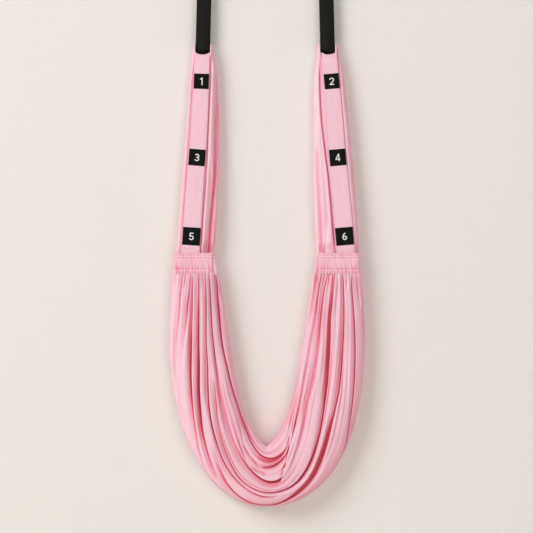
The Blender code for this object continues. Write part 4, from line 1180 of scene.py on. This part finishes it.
def arm_front(arm, drops, edges, depths, strip_columns):
    """Offsets across an arm's front, their y, how much painted shade each takes, and where its painted crest
    highlights go.
    """
    (outer, inner), (fullest, bed) = edges, depths
    bed_out, bed_in, lines = arm_lines(arm, drops, outer, inner)
    folds = ease(*FOLD_START, drops)
    turn = math.pi / 2 * np.arange(strip_columns) / strip_columns
    between = [clustered(strip_columns)] * len(arm["valleys"])
    shares = [1 - np.cos(turn), clustered(max(strip_columns // 2, 6)), *between, np.sin(turn)]
    offset = columns_between([outer, *lines, inner], shares)

    hull = fullest * round_share((outer - offset) / (outer - inner), 3.0)
    outside = np.maximum(np.maximum(offset - bed_out, bed_in - offset), 0)
    in_bed = (offset <= bed_out + 1e-6) & (offset >= bed_in - 1e-6)
    dent = np.where(in_bed, hull - bed, (hull - bed + 1.5) * fold_profile(outside, 1.0, BED_LEAN))
    dent = np.maximum(dent, 0) * (folds > 0)
    total, lowered = dent**VALLEY_UNION, 0
    for line, valley in zip(lines[2:], arm["valleys"]):
        depth, crisp = (steady_through(*zip(*valley[name]), drops) for name in ("depth", "crisp"))
        beside = offset - line
        total += (depth * fold_profile(beside, crisp)) ** VALLEY_UNION
        share = depth / max(row[1] for row in valley["depth"])
        lowered += valley["rear"] * share * ease(0, 4, -beside)
    sunk = np.where(in_bed, dent, held(total ** (1 / VALLEY_UNION), hull, ARM_HELD))
    lowered = lowered * hull / fullest
    # Painted shade: a dark line along each edge of the bed, elsewhere by depth; painted highlight on the
    # ridge beside the band
    from_line = np.minimum(offset - bed_in, bed_out - offset)
    shade = np.where(in_bed, 1.5 + 6.5 * np.exp(-np.abs(from_line) / 1.3), sunk + 0.6 * lowered)
    painted_ridge_highlight = ease(3.5, 0.5, sunk + 0.6 * lowered) * (offset < bed_in) * folds
    return offset, -hull + sunk + lowered, shade, painted_ridge_highlight


def arm_rings(arm, drops, strip_columns, back_columns):
    """Rings of an arm's cloth, how much painted shade each point takes, and where its painted crest
    highlights are.
    """
    drops = drops[:, None]
    outer, inner = arm_edges(arm, drops)
    fullest, bed, back = arm_depths(drops)
    offset, front_y, shade, crest = arm_front(arm, drops, (outer, inner), (fullest, bed), strip_columns)

    width = outer - inner
    w = (1 - np.cos(math.pi * np.arange(back_columns) / back_columns)) / 2
    hull = back * round_share(w, 2.6)[None]
    folds = list(enumerate(ARM_BACK_FOLDS))
    lines = [
        place + 0.03 * np.sin(drops / 70 + 2.3 * k) + 0.015 * np.sin(drops / 31 + k) for k, place in folds
    ]
    depths = [(4.2 + np.sin(drops / 55 + 1.9 * k)) * ease(5, 60, drops) for k, _ in folds]
    back_sunk = back_folds(hull, width, w[None], lines, depths)

    offset = np.concatenate([offset, inner + width * w], axis=1)
    y = np.concatenate([front_y, hull - back_sunk], axis=1)
    depth = np.concatenate([shade, back_sunk], axis=1)
    crest = np.concatenate([crest, np.zeros_like(back_sunk)], axis=1)
    return on_arm(arm, drops, offset, y), depth, crest


def crown_radius(across):
    return CROWN_RADIUS - CROWN_TAPER * across**2


def make_cutter(rings):
    """A closed helper over rings of points, to cut with."""
    mesh = ring_mesh("cutter", rings)
    face_outwards(mesh)
    return add_object("cutter", mesh)


def boolean(piece, cutter):
    """Cut a helper from a piece and delete the helper."""
    modifier = piece.modifiers.new("cut", "BOOLEAN")
    modifier.operation = "DIFFERENCE"
    modifier.solver = "EXACT"
    modifier.object = cutter
    bpy.context.view_layer.update()
    graph = bpy.context.evaluated_depsgraph_get()
    cut = bpy.data.meshes.new_from_object(piece.evaluated_get(graph))
    piece.modifiers.remove(modifier)
    old = piece.data
    piece.data = cut
    bpy.data.meshes.remove(old)
    bpy.data.objects.remove(cutter, do_unlink=True)


def opening_radius(across):
    """How far from the crown's axis the cloth in front stays clear of the webbing."""
    return OPENING_RADII[0] + (OPENING_RADII[1] - OPENING_RADII[0]) * (1 - across**2)


def strap_opening(arm):
    """The space of the webbing loop and of its way up, with the crown's bundle of cloth left out."""
    half = STRAP_WIDTH / 2 + STRAP_SIDE_GAP
    reach = 2 * HORN_RADIUS
    middle = arm["side"] * CROWN_X
    above = [(-reach, CROWN_Z), (-reach, CROWN_Z + reach), (reach, CROWN_Z + reach), (reach, CROWN_Z)]
    rings = []
    for u in np.linspace(-1, 1, 17):
        outline = above + arc(0, CROWN_Z, opening_radius(u), opening_radius(u), 0, -180, 49)
        rings.append([(middle + u * half, y, z) for y, z in outline])
    opening = make_cutter(np.array(rings))
    barrel = []
    around = np.linspace(0, 2 * math.pi, 72, endpoint=False)
    for u in np.linspace(-1.1, 1.1, 23):
        radius = crown_radius(u) + 0.12 * np.sin(9 * around + 3 * u) + 0.08 * np.sin(14 * around - 5 * u)
        x = np.full_like(around, middle + u * STRAP_WIDTH / 2)
        barrel.append(np.stack([x, radius * np.cos(around), CROWN_Z + radius * np.sin(around)], axis=1))
    boolean(opening, make_cutter(np.array(barrel)))
    return opening


def make_arm(hand, arm, material):
    drops = np.concatenate([np.linspace(-11, 24, 50), np.linspace(25, 447, 190)])
    rings, depth, crest = arm_rings(arm, drops, *(((18, 90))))
    mesh = ring_mesh(hand + "_arm", rings)
    # Painted shade in the folds and where the cloth turns from the light, and painted highlights on its
    # crests
    set_attributes(mesh, fold=fold_painted_shade(depth) + turned_painted_shade(rings), crest=lit_crests(rings, crest))
    piece = add_piece(hand + "_arm", mesh, material, "hammock", [hand + "_arm_cloth"])
    boolean(piece, strap_opening(arm))
    piece.data.set_sharp_from_angle(angle=math.radians(60))
    return piece


# Grip bands


def make_band(hand, arm, material):
    rows = 360
    shares = np.concatenate([[-1], np.sin(np.linspace(-1.35, 1.35, 41)) / math.sin(1.35) * 0.995, [1]])
    rings = []
    for k, drop in enumerate(np.linspace(BAND_START, ARM_DROP + BAND_TUCK, rows)):
        top = BAND_HOLLOW * max(0, 1 - k / (rows * 0.08))
        here = drop - top * shares**2
        edge = (1 - np.abs(shares)) * band_width(drop) / 2
        round_off = BAND_EDGE * edge_fall(edge, BAND_EDGE)
        seam = BAND_SEAM_DEPTH * bulge(edge - BAND_SEAM, 0.7)
        ripple = 0.08 * np.sin(here * 1.05 + 2 * np.sin(here * 0.21)) * bulge(edge - BAND_SEAM, 1.5)
        top_puff = BAND_TOP_PUFF * bulge(drop - BAND_START - 1.6, 1.3)
        puff = BAND_PUFF * (1 - shares**4) + top_puff * (1 - shares**8)
        level = bed_depth(here) + BAND_FACE + puff - round_off - seam + ripple
        middle, half = band_middle(arm, here), band_width(here) / 2
        front = on_arm(arm, here, middle + shares * half, -level)
        back = on_arm(arm, here, middle + shares * (half - 0.2), -(bed_depth(here) + BAND_BACK))
        rings.append(np.concatenate([front, back[::-1]]))
    mesh = ring_mesh(hand + "_band", np.array(rings), "paired")
    set_attributes(mesh, fold=np.zeros(len(mesh.vertices)))
    return add_piece(hand + "_band", mesh, material, "hammock", [hand + "_grip_band"])


# Labels


def label_frame(arm, drop):
    """Matrix of a label's own space in millimetres: X across, Y up, Z out of its face."""
    here, below = (Vector(band_face(arm, d, 0.0).tolist()) for d in (drop, drop + 5))
    up = (here - below).normalized()
    across = up.cross(Vector((0, -1, 0))).normalized()
    out = across.cross(up).normalized()
    across = up.cross(out)
    space = Matrix.Identity(4)
    for column, axis in enumerate((across, up, out)):
        space.col[column] = (*axis, 0)
    space.col[3] = (*here, 1)
    return space


def place_mesh(mesh, matrix):
    """Move a mesh from a space of its own, whose matrix is in millimetres, into the scene."""
    mesh.transform(Matrix.Scale(0.001, 4) @ matrix @ Matrix.Scale(1000, 4))


# Middle lines of the strokes of each numeral, in shares of its height
NUMERAL_LINES = {
    1: ([(0.42, 0.0), (0.42, 1.0)], [(0.44, 0.93), (0.34, 0.84), (0.14, 0.76)]),
    2: (arc(0.33, 0.68, 0.25, 0.24, 172, -32) + [(0.08, 0.09)], [(0.02, 0.08), (0.62, 0.08)]),
    3: (
        arc(0.31, 0.71, 0.22, 0.21, 165, -90),
        arc(0.31, 0.29, 0.25, 0.22, 90, -165),
        [(0.2, 0.51), (0.34, 0.51)],
    ),
    4: ([(0.47, 0.0), (0.47, 1.0)], [(0.45, 0.95), (0.06, 0.28)], [(0.0, 0.25), (0.66, 0.25)]),
    5: ([(0.12, 0.92), (0.58, 0.92)], [(0.15, 0.96), (0.11, 0.47)], arc(0.31, 0.31, 0.26, 0.24, 140, -160)),
    6: (arc(0.33, 0.3, 0.24, 0.22, 0, 360), arc(0.51, 0.34, 0.42, 0.58, 180, 98)),
}


def ribbon(points, half, low, high):
    """Rings of a flat ribbon along a line, with square ends."""
    points = np.array(points)
    beside = headings(points)[:, ::-1] * (-half, half)
    corners = ((beside, low), (beside, high), (-beside, high), (-beside, low))
    levels = [np.column_stack([points + edge, np.full(len(points), level)]) for edge, level in corners]
    return np.stack(levels, axis=1)


def make_numeral(number, space, white):
    """Strokes of a numeral, each a little higher than the one before it."""
    strokes = []
    for k, line in enumerate(NUMERAL_LINES[number]):
        line = (np.array(line) - NUMERAL_MIDDLE) * NUMERAL_TALL
        strokes.append(ribbon(line, NUMERAL_STROKE / 2, NUMERAL_LOW, NUMERAL_HIGH + 0.02 * k))
    mesh = joined_tubes(f"numeral_{number}", strokes)
    place_mesh(mesh, space)
    return add_piece(f"numeral_{number}", mesh, white, "hammock", sharp_deg=40)


def make_label(number, arm, drop, black, white):
    """A square woven label with round corners and a stitched rim, and its numeral."""
    name = f"label_{number}"
    half = band_width(drop) / 2 - LABEL_MARGIN
    reach = half - LABEL_CORNER
    outline = []
    for x, y, start in ((1, 1, 0), (-1, 1, 90), (-1, -1, 180), (1, -1, 270)):
        outline += arc(x * reach, y * reach, LABEL_CORNER, LABEL_CORNER, start, start + 90, 7)
    outline = np.array(outline)
    layers = [(outline * (1 - inset / half), np.full(len(outline), height)) for inset, height in LABEL_LAYERS]
    mesh = ring_mesh(name + "_patch", np.array([np.column_stack(layer) for layer in layers]))
    space = label_frame(arm, drop)
    place_mesh(mesh, space)
    patch = add_piece(name + "_patch", mesh, black, "hammock", [name], sharp_deg=50)
    return [patch, make_numeral(number, space, white)]


# Thread and rolled hems


def tube_rings(points, radii, sides):
    """Rings of a round tube along a line of points."""
    points = np.array(points, float)
    heading = headings(points)
    side = unit(np.cross(heading, (0.0, 1.0, 0.0)))
    other = np.cross(heading, side)
    angles = np.linspace(0, 2 * math.pi, sides, endpoint=False)
    around = np.cos(angles)[:, None] * side[:, None] + np.sin(angles)[:, None] * other[:, None]
    return points[:, None] + around * np.broadcast_to(radii, len(points))[:, None, None]


def stitch_tubes(line, pitch, length, radius):
    """Short tapered stitches along a line of points that lies on the cloth."""
    along = lengths_along(line)
    tubes = []
    for start in np.arange(pitch / 2, along[-1] - length, pitch):
        points = places_on(line, along, start + np.array((0, 0.12, 0.5, 0.88, 1)) * length)
        tubes.append(tube_rings(points, np.array((0.35, 0.85, 1, 0.85, 0.35)) * radius, 5))
    return tubes


def band_face(arm, drop, shares):
    """Places on a band's face at shares of its half width."""
    level = bed_depth(np.asarray(drop)) + BAND_FACE + BAND_PUFF
    return on_arm(arm, drop, band_middle(arm, drop) + shares * band_width(drop) / 2, -level)


def make_band_thread(hand, arm, material):
    """Stitches down both edges of a band, under its top hem, and across it beside each label."""
    tubes = []
    drops = np.linspace(BAND_START + 2, ARM_DROP - 0.5, 200)
    for edge in (-1, 1):
        shares = edge * (1 - 2 * BAND_SEAM / band_width(drops))
        tubes += stitch_tubes(band_face(arm, drops, shares) + (0, 0.42, 0), 3.2, 2.3, 0.32)
    across = np.linspace(-0.93, 0.93, 40)
    hem = band_face(arm, BAND_START + 3.4 - BAND_HOLLOW * 0.9 * across**2, across)
    tubes += stitch_tubes(hem + (0, 0.1, 0), 2.6, 1.8, 0.32)
    for drop in arm_label_edges():
        tubes += stitch_tubes(band_face(arm, drop, across) + (0, 0.12, 0), 1.5, 1.6, 0.42)
    mesh = joined_tubes(hand + "_band_thread", tubes)
    return add_piece(hand + "_band_thread", mesh, material, "hammock")


def arm_label_edges():
    """Drops of the seams just above and just below each label."""
    return [drop + side * (band_width(drop) / 2 + 0.9) for drop in LABEL_DROPS for side in (-1, 1)]


def make_hems(hand, arm, material):
    """Rolled hems where the arm's cloth opens round the webbing."""
    tubes = []
    for way in (-1, 1):
        line = np.array([(way * x, drop, y) for x, drop, y in HEM_LINE])
        at = np.linspace(0, len(line) - 1, 30)
        path = np.stack([smooth_through(range(len(line)), line[:, k], at) for k in range(3)], axis=1)
        wobble = 0.35 * np.sin(at * 5.1 + way) + 0.2 * np.sin(at * 9.3)
        points = on_arm(arm, path[:, 1], path[:, 0] + wobble * 0.5, path[:, 2])
        radii = HEM_RADIUS * (0.55 + 0.45 * np.sin(np.pi * (at + 0.4) / (at[-1] + 0.8))) + 0.12 * wobble
        tubes.append(tube_rings(points, radii, 10))
    mesh = joined_tubes(hand + "_arm_hem", tubes)
    return add_piece(hand + "_arm_hem", mesh, material, "hammock")


# Casings


def casing_plan(arm, inset, count):
    """Points round the front of a casing, from the inner return to the outer one, as (offset, y)."""
    outer, inner = casing_edges(arm, inset)
    corner = CASING_CORNER - inset
    front = -(NECK_FRONT + TAPE_THICK + CASING_FULL + 3 * SEAT_GAP) + inset
    line = [(inner, front + CASING_RETURN)]
    for middle, start in ((inner + corner, 180), (outer - corner, 270)):
        line += arc(middle, front + corner, corner, corner, start, start + 90, 13)
    line = np.array([*line, (outer, front + CASING_RETURN)])
    length = lengths_along(line)
    at = np.linspace(0, length[-1], count)
    return places_on(line, length, at), at


def hem_wave(at, seed):
    """An uneven wave along a hem, from about -1 to 1."""
    long_wave = 0.3 * np.sin(at * 0.37 + 3 * seed)
    return 0.5 * np.sin(at * 0.83 + seed) + 0.35 * np.sin(at * 1.31 + 2 * seed) + long_wave


def thinned(level):
    """How far the casing's wall has thinned towards its bottom edge, from 0 to 1."""
    return ease(1 - 3 / CASING_HEIGHT, 1, level)


def casing_depth(level, at, gathers, seed):
    """How far the casing's cloth lies behind its fullest face: ruching, two hems and their seams. Also the
    painted shade along the seams, and the painted highlight where the hems stand up."""
    down = level * CASING_HEIGHT
    high_seam = CASING_HEM + 0.3 * hem_wave(at, seed + 6)
    low_seam = CASING_HEIGHT - CASING_LOW_HEM + 0.6 * hem_wave(at, seed + 5)
    above, below = np.maximum(low_seam - down, 0), np.maximum(down - low_seam, 0)
    room = ease(-1.0, 2.5, down - high_seam)
    dent = np.zeros_like(at)
    for where, deep, wide, lean, reach in gathers:
        strength = deep * np.exp(-above / (3 + 16 * reach)) * np.exp(-below / 3.5) * room
        dent = np.maximum(dent, strength * bulge(at - (where + lean * above / 5), wide * (0.6 + above / 9)))
    in_hems = np.maximum(1 - room, ease(0, 1.5, below))
    lumps = (0.45 - 0.45 * hem_wave(at, seed + (level > 0.5))) * in_hems
    seam = np.zeros_like(at)
    for place in (high_seam * 0.45, high_seam, low_seam, low_seam + CASING_LOW_HEM * 0.7):
        patchy = 0.65 + 0.35 * hem_wave(at * 1.7, seed + 2 + place.mean())
        seam += 0.8 * np.clip(patchy, 0.1, 1) * bulge(down - place, 0.6)
    round_off = CASING_ROUND * edge_fall(min(down, CASING_HEIGHT - down), CASING_ROUND)
    most = CASING_FULL - 0.4
    most += (CASING_EDGE - 0.3 - most) * thinned(level)
    hem_painted_highlight = bulge(down - high_seam * 0.72, 1.1) * np.clip(0.75 + 0.4 * hem_wave(at, seed + 9), 0, 1)
    hem_painted_highlight += bulge(down - low_seam - 4, 1.8) * np.clip(0.3 + 0.9 * hem_wave(at * 1.4, seed + 4), 0, 1)
    # Painted shade along the seams, and painted highlight where the hems stand up
    return np.minimum(2.3 * dent + lumps + seam + round_off + 0.2 * room, most), 1.3 * seam, hem_painted_highlight


def casing_gathers(rng, length):
    """Random gathers along a casing: place, depth, width, lean and reach."""
    gathers, place = [], 1.5
    while place < length:
        deep, wide = rng.uniform(0.35, 1.0), rng.uniform(0.9, 2.2)
        gathers.append((place, deep, wide, rng.uniform(-1.6, 1.6), rng.uniform(0.15, 0.95)))
        place += rng.uniform(3.0, 9.0)
    return gathers


def make_casing(hand, arm, material):
    count, rows = ((420, 120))
    outside, at = casing_plan(arm, 0, count)
    inside, _ = casing_plan(arm, CASING_FULL, count)
    thin = inside + (outside - inside) * (1 - CASING_EDGE / CASING_FULL)
    normal = unit(outside - inside)
    seed = CASING_SEEDS[hand]
    gathers = casing_gathers(np.random.default_rng(seed), at[-1])
    rings, painted_shade_depths, crests = [], [], []
    for level in np.linspace(0, 1, rows):
        back, seam, hem_painted_highlight = casing_depth(level, at, gathers, seed)
        drop = ARM_DROP + level * CASING_HEIGHT
        sway = hem_wave(at, seed + 1) * 1.6 * ease(0.75, 1, level)
        sway -= 0.5 * hem_wave(at, seed) * ease(0.2, 0, level)
        before = outside - normal * back[:, None]
        behind = inside + (thin - inside) * thinned(level)
        outer = on_arm(arm, drop + sway, before[:, 0], before[:, 1])
        inner = on_arm(arm, drop + sway[::-1], behind[::-1, 0], behind[::-1, 1])
        rings.append(np.concatenate([outer, inner]))
        painted_shade_depths.append(np.concatenate([back + seam, np.zeros(count)]))
        crests.append(np.concatenate([hem_painted_highlight, np.zeros(count)]))
    mesh = ring_mesh(hand + "_casing_cloth", np.array(rings), "paired")
    # Painted shade in the casing's dents and seams, and painted highlight on its raised hems
    fold = 0.7 * np.clip(np.array(painted_shade_depths) / 2.4, 0, 1) ** 1.2
    set_attributes(mesh, fold=fold, crest=1.4 * np.array(crests))
    return add_piece(hand + "_casing_cloth", mesh, material, "hammock", [hand + "_casing"])


# Webbing loops


def strap_middle(z):
    part = (BASE_BAR_Z - z) / STRAP_REACH
    return HANG_X + (CROWN_X - HANG_X) * part


def strap_section(side, across, layer):
    """One lengthwise line of the loop: under the crown, up the back, over the bar and down the front."""
    low_radius = crown_radius(across) + SEAT_GAP + layer * STRAP_THICK
    high_radius = BAR_RADIUS + SEAT_GAP + layer * STRAP_THICK
    lean = math.degrees(math.asin((low_radius - high_radius) / STRAP_REACH))
    under = np.array(arc(0, CROWN_Z, low_radius, low_radius, 180 - lean, 360 + lean, 49))
    over = np.array(arc(0, BASE_BAR_Z, high_radius, high_radius, lean, 180 - lean, 33))
    run = over[0] - under[-1]
    lift = STRAP_THICK * layer * run[[1, 0]] * (1, -1) / np.linalg.norm(run)
    lap = [(part, 1) for part in np.linspace(SPLICE_START, SPLICE_END, 12)]
    lap = [(SPLICE_START - SPLICE_SLOPE, 0), *lap, (SPLICE_END + SPLICE_SLOPE, 0)]
    back = [under[-1] + run * part + lift * lifted for part, lifted in ((0.1, 0), *lap, (0.8, 0))]
    front = [over[-1] + (under[0] - over[-1]) * part for part in np.linspace(0, 1, 12)[1:-1]]
    line = np.concatenate([under, back, over, front])
    return np.array([(side * strap_middle(z) + across * STRAP_WIDTH / 2, y, z) for y, z in line])


def make_strap(hand, side, material):
    """Flat webbing sewn into a loop, its ends lapped one over the other on the back run."""
    half = (0.2, 0.45, 0.7, 0.9, 0.95, 0.985, 1)
    shares = [*(-share for share in half[::-1]), 0, *half]
    thin = [STRAP_EDGE * edge_fall(1 - abs(u), 0.1) for u in shares]
    outer = [strap_section(side, u, 1 - less) for u, less in zip(shares, thin)]
    inner = [strap_section(side, u, less) for u, less in zip(shares, thin)]
    rings = np.array(outer + inner[::-1]).transpose(1, 0, 2)
    mesh = ring_mesh(hand + "_webbing", np.concatenate([rings, rings[:1]]), "open")
    weld(mesh)
    return add_piece(hand + "_webbing", mesh, material, "straps", [hand + "_strap"])


def webbing_material():
    """Black nylon webbing: a fine herringbone weave with a soft shine."""
    material, tree, shader = new_material("black_webbing", 0.6, specular=0.1)
    shader.inputs["Base Color"].default_value = BLACK
    uv = add_node(tree, "ShaderNodeUVMap", {"uv_map": "cloth"}).outputs["UV"]
    height = math_node(tree, "MULTIPLY", waves(tree, uv, "X", 160.0), waves(tree, uv, "Y", 200.0))
    raise_surface(tree, shader, height, 0.6, 0.0005)
    return material


def woven_material(name, colour, roughness=0.8, pitch=0.0007, specular=0.5):
    """Fine plain weave with slightly uneven colour, for tapes, thread, labels and their print."""
    material, tree, shader = new_material(name, roughness, specular=specular)
    place = add_node(tree, "ShaderNodeTexCoord").outputs["Object"]
    uneven = noise(tree, place, 180.0, 4.0)
    tree.links.new(mix_colour(tree, uneven, colour, darker(colour, 0.86)), shader.inputs["Base Color"])
    height = math_node(tree, "MULTIPLY", *(waves(tree, place, way, 0.32 / pitch) for way in "XZ"))
    height = math_node(tree, "MULTIPLY_ADD", uneven, 0.6, height)
    raise_surface(tree, shader, height, 0.5, 0.0003)
    return material


def metal_material(name, colour, roughness, knurl=0.0):
    """Bright or dark steel with fine grinding marks, and a diamond knurl where it is asked for."""
    material, tree, shader = new_material(name, roughness, 1.0)
    place = add_node(tree, "ShaderNodeTexCoord").outputs["Object"]
    marks = noise(tree, mapped(tree, place, Scale=(900, 900, 60)), 1.0, 4.0)
    worn = noise(tree, place, 140.0, 3.0)
    tree.links.new(mix_colour(tree, worn, colour, darker(colour, 0.72)), shader.inputs["Base Color"])
    spread = math_node(tree, "MULTIPLY_ADD", worn, 0.22, roughness - 0.11)
    tree.links.new(spread, shader.inputs["Roughness"])
    height = math_node(tree, "MULTIPLY", marks, 1 - knurl)
    if knurl:
        for turn in (0.8, -0.8):
            ridges = waves(tree, mapped(tree, place, Rotation=(0, turn, 0)), "Z", 190.0)
            height = math_node(tree, "MULTIPLY_ADD", ridges, knurl, height)
    raise_surface(tree, shader, height, 0.35, 0.0003)
    return material


def finish_nodes():
    """Give the solids that stay their materials, by the ends of their names."""
    steel = metal_material("brushed_steel", (0.56, 0.57, 0.58, 1.0), 0.3)
    dark = metal_material("dark_steel", (0.2, 0.2, 0.21, 1.0), 0.38)
    sleeve = metal_material("knurled_sleeve", (0.3, 0.3, 0.31, 1.0), 0.36, knurl=0.8)
    tape = woven_material("white_tape", srgb(232, 230, 226))
    by_ending = {
        "carabiner_body": steel,
        "gate": steel,
        "gate_pin": dark,
        "lock_sleeve": sleeve,
        "gate_spring": dark,
        "gate_plunger": steel,
        "gathering_tape": tape,
        "grip_band_core": tape,
    }
    for hand in ARMS:
        for ending, material in by_ending.items():
            for thing in [piece for piece in bpy.data.objects if piece.name == f"{hand}_{ending}"]:
                for slot in thing.material_slots:
                    slot.material = material


# Stage

WALL_COLOUR = srgb(234, 229, 224)
BACKDROP_COLOUR = srgb(236, 230, 223)
FLOOR_PALENESS = 0.75
WALL_TOP_Y, WALL_BOTTOM_Y = 19, 37.5
WALL_TOP_Z, WALL_BOTTOM_Z = -300, -1166

# Sizes of the stage in metres
FLOOR_Z, FLOOR_HALF = -1.9, 6
WALL_HIGH, WALL_HALF = 1.0, 2

# Lamps: place, size and power. All face the middle of the object.
LAMPS = {
    "key": ((-5.0, -5.2, 3.3), 4.6, 405),
    "fill": ((2.2, -7.3, -0.6), 5.0, 130),
    "rear": ((2.8, 4.2, 2.0), 2.4, 95),
}
LAMP_TARGET = (0, 0, -0.65)
SOFT_LIGHT_COLOUR, SOFT_LIGHT = (0.98, 1.0, 0.95, 1), 0.29


def wall_material():
    """A pale wall that casts no shadow, and that nothing sees from its back."""
    material, tree, shader = new_material("stage_wall", 0.9, specular=0.1)
    shader.inputs["Base Color"].default_value = WALL_COLOUR
    facing = add_node(tree, "ShaderNodeNewGeometry").outputs["Backfacing"]
    shadow = add_node(tree, "ShaderNodeLightPath").outputs["Is Shadow Ray"]
    clear = add_node(tree, "ShaderNodeBsdfTransparent").outputs["BSDF"]
    mix_shaders(tree, math_node(tree, "MAXIMUM", facing, shadow), shader.outputs["BSDF"], clear)
    return material


def floor_material():
    """A pale floor whose own light keeps it near the backdrop's tone."""
    material, tree, shader = new_material("stage_floor", 0.9)
    shader.inputs["Base Color"].default_value = WALL_COLOUR
    glow = add_node(tree, "ShaderNodeEmission", Color=BACKDROP_COLOUR, Strength=1.0).outputs[0]
    rays = add_node(tree, "ShaderNodeLightPath").outputs
    seen = math_node(tree, "MULTIPLY", rays["Is Camera Ray"], FLOOR_PALENESS)
    mix_shaders(tree, seen, shader.outputs["BSDF"], glow)
    return material


def make_stage():
    """A pale wall close behind, in three parts that swing with the object, and a pale floor."""
    wall = wall_material()
    slope = (WALL_TOP_Y - WALL_BOTTOM_Y) / (WALL_TOP_Z - WALL_BOTTOM_Z)
    edges = (FLOOR_Z, CROWN_Z / 1000, BASE_BAR_Z / 1000, WALL_HIGH)
    lines = [((WALL_TOP_Y + slope * (z * 1000 - WALL_TOP_Z)) / 1000, z) for z in edges]
    for body, low, high in zip(("hammock", "straps", "carabiners"), lines, lines[1:]):
        corners = [(-WALL_HALF, *low), (WALL_HALF, *low), (WALL_HALF, *high), (-WALL_HALF, *high)]
        add_stage_plane(f"stage_wall_{body}", corners, wall, body)
    floor = [(x * FLOOR_HALF, y * FLOOR_HALF, FLOOR_Z) for x, y in ((-1, -1), (1, -1), (1, 1), (-1, 1))]
    add_stage_plane("stage_floor", floor, floor_material())


def add_stage_plane(name, corners, material, body=None):
    """A flat backdrop. Where it rides a body, it stays behind the cloth when that swings back."""
    mesh = bpy.data.meshes.new(name)
    mesh.from_pydata(corners, [], [(0, 1, 2, 3)])
    mesh.materials.append(material)
    thing = add_object(name, mesh)
    if body:
        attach(thing, body)


def add_lamp(name, place, size, power):
    """A round soft lamp that faces the middle of the object."""
    lamp = bpy.data.lights.new(name, "AREA")
    lamp.shape = "DISK"
    lamp.size = size
    lamp.energy = power
    thing = add_object(name, lamp)
    thing.location = place
    thing.rotation_euler = (Vector(LAMP_TARGET) - Vector(place)).to_track_quat("-Z", "Y").to_euler()


def make_light():
    """Three lamps and soft light from all round, with a plain backdrop where the world itself is seen."""
    for name, lamp in LAMPS.items():
        add_lamp(name, *lamp)
    world = bpy.data.worlds.new("studio")
    world.use_nodes = True
    tree = world.node_tree
    soft_light = tree.nodes["Background"]
    soft_light.inputs["Color"].default_value = SOFT_LIGHT_COLOUR
    soft_light.inputs["Strength"].default_value = SOFT_LIGHT
    backdrop = add_node(tree, "ShaderNodeBackground", Color=BACKDROP_COLOUR, Strength=1.0)
    rays = add_node(tree, "ShaderNodeLightPath").outputs
    seen = math_node(tree, "MAXIMUM", rays["Is Camera Ray"], rays["Is Glossy Ray"])
    seen = math_node(tree, "MAXIMUM", seen, rays["Is Transmission Ray"])
    mix_shaders(tree, seen, soft_light.outputs[0], backdrop.outputs[0], "World Output")
    bpy.context.scene.world = world
    bpy.context.scene.view_settings.view_transform = "Standard"


# Camera: the photograph is taken from straight ahead with a long lens
VIEW_CENTRE = (2.7, -664.5)
VIEW_SPAN = 1108.6
LENS = 150
SENSOR = 36
OBJECT_PLANE_Y = -12


def make_camera():
    camera = bpy.data.cameras.new("camera")
    camera.lens = LENS
    camera.sensor_width = SENSOR
    distance = VIEW_SPAN * LENS / SENSOR
    thing = add_object("camera", camera)
    thing.location = np.array((VIEW_CENTRE[0], OBJECT_PLANE_Y - distance, VIEW_CENTRE[1])) / 1000
    thing.rotation_euler = (math.radians(90), 0, 0)
    bpy.context.scene.camera = thing


def main():
    make_camera()
    make_stage()
    make_light()
    pink = cloth_material("pink_cloth", PINK, 0.35)
    pink_band = cloth_material("pink_band", PINK_BAND, 0.2)
    pink_casing = cloth_material("pink_casing", PINK, 0.35)
    thread = woven_material("pale_thread", srgb(250, 214, 224), 0.6, 0.0004)
    hem = woven_material("pale_hem", srgb(249, 212, 223), 0.65)
    webbing = webbing_material()
    black = woven_material("label_black", LABEL_BLACK, 0.6, 0.0005, 0.08)
    white = woven_material("numeral_white", NUMERAL_WHITE, 0.6, 0.0005, 0.3)
    for hand, arm in ARMS.items():
        sewn = [make_band(hand, arm, pink_band)]
        for number, drop in zip(arm["numbers"], LABEL_DROPS):
            sewn += make_label(number, arm, drop, black, white)
        sewn.append(make_band_thread(hand, arm, thread))
        sewn.append(make_hems(hand, arm, hem))
        sewn.append(make_casing(hand, arm, pink_casing))
        strap = make_strap(hand, arm["side"], webbing)
        cloth = make_arm(hand, arm, pink)
    sling = make_sling(pink)
    finish_nodes()


main()
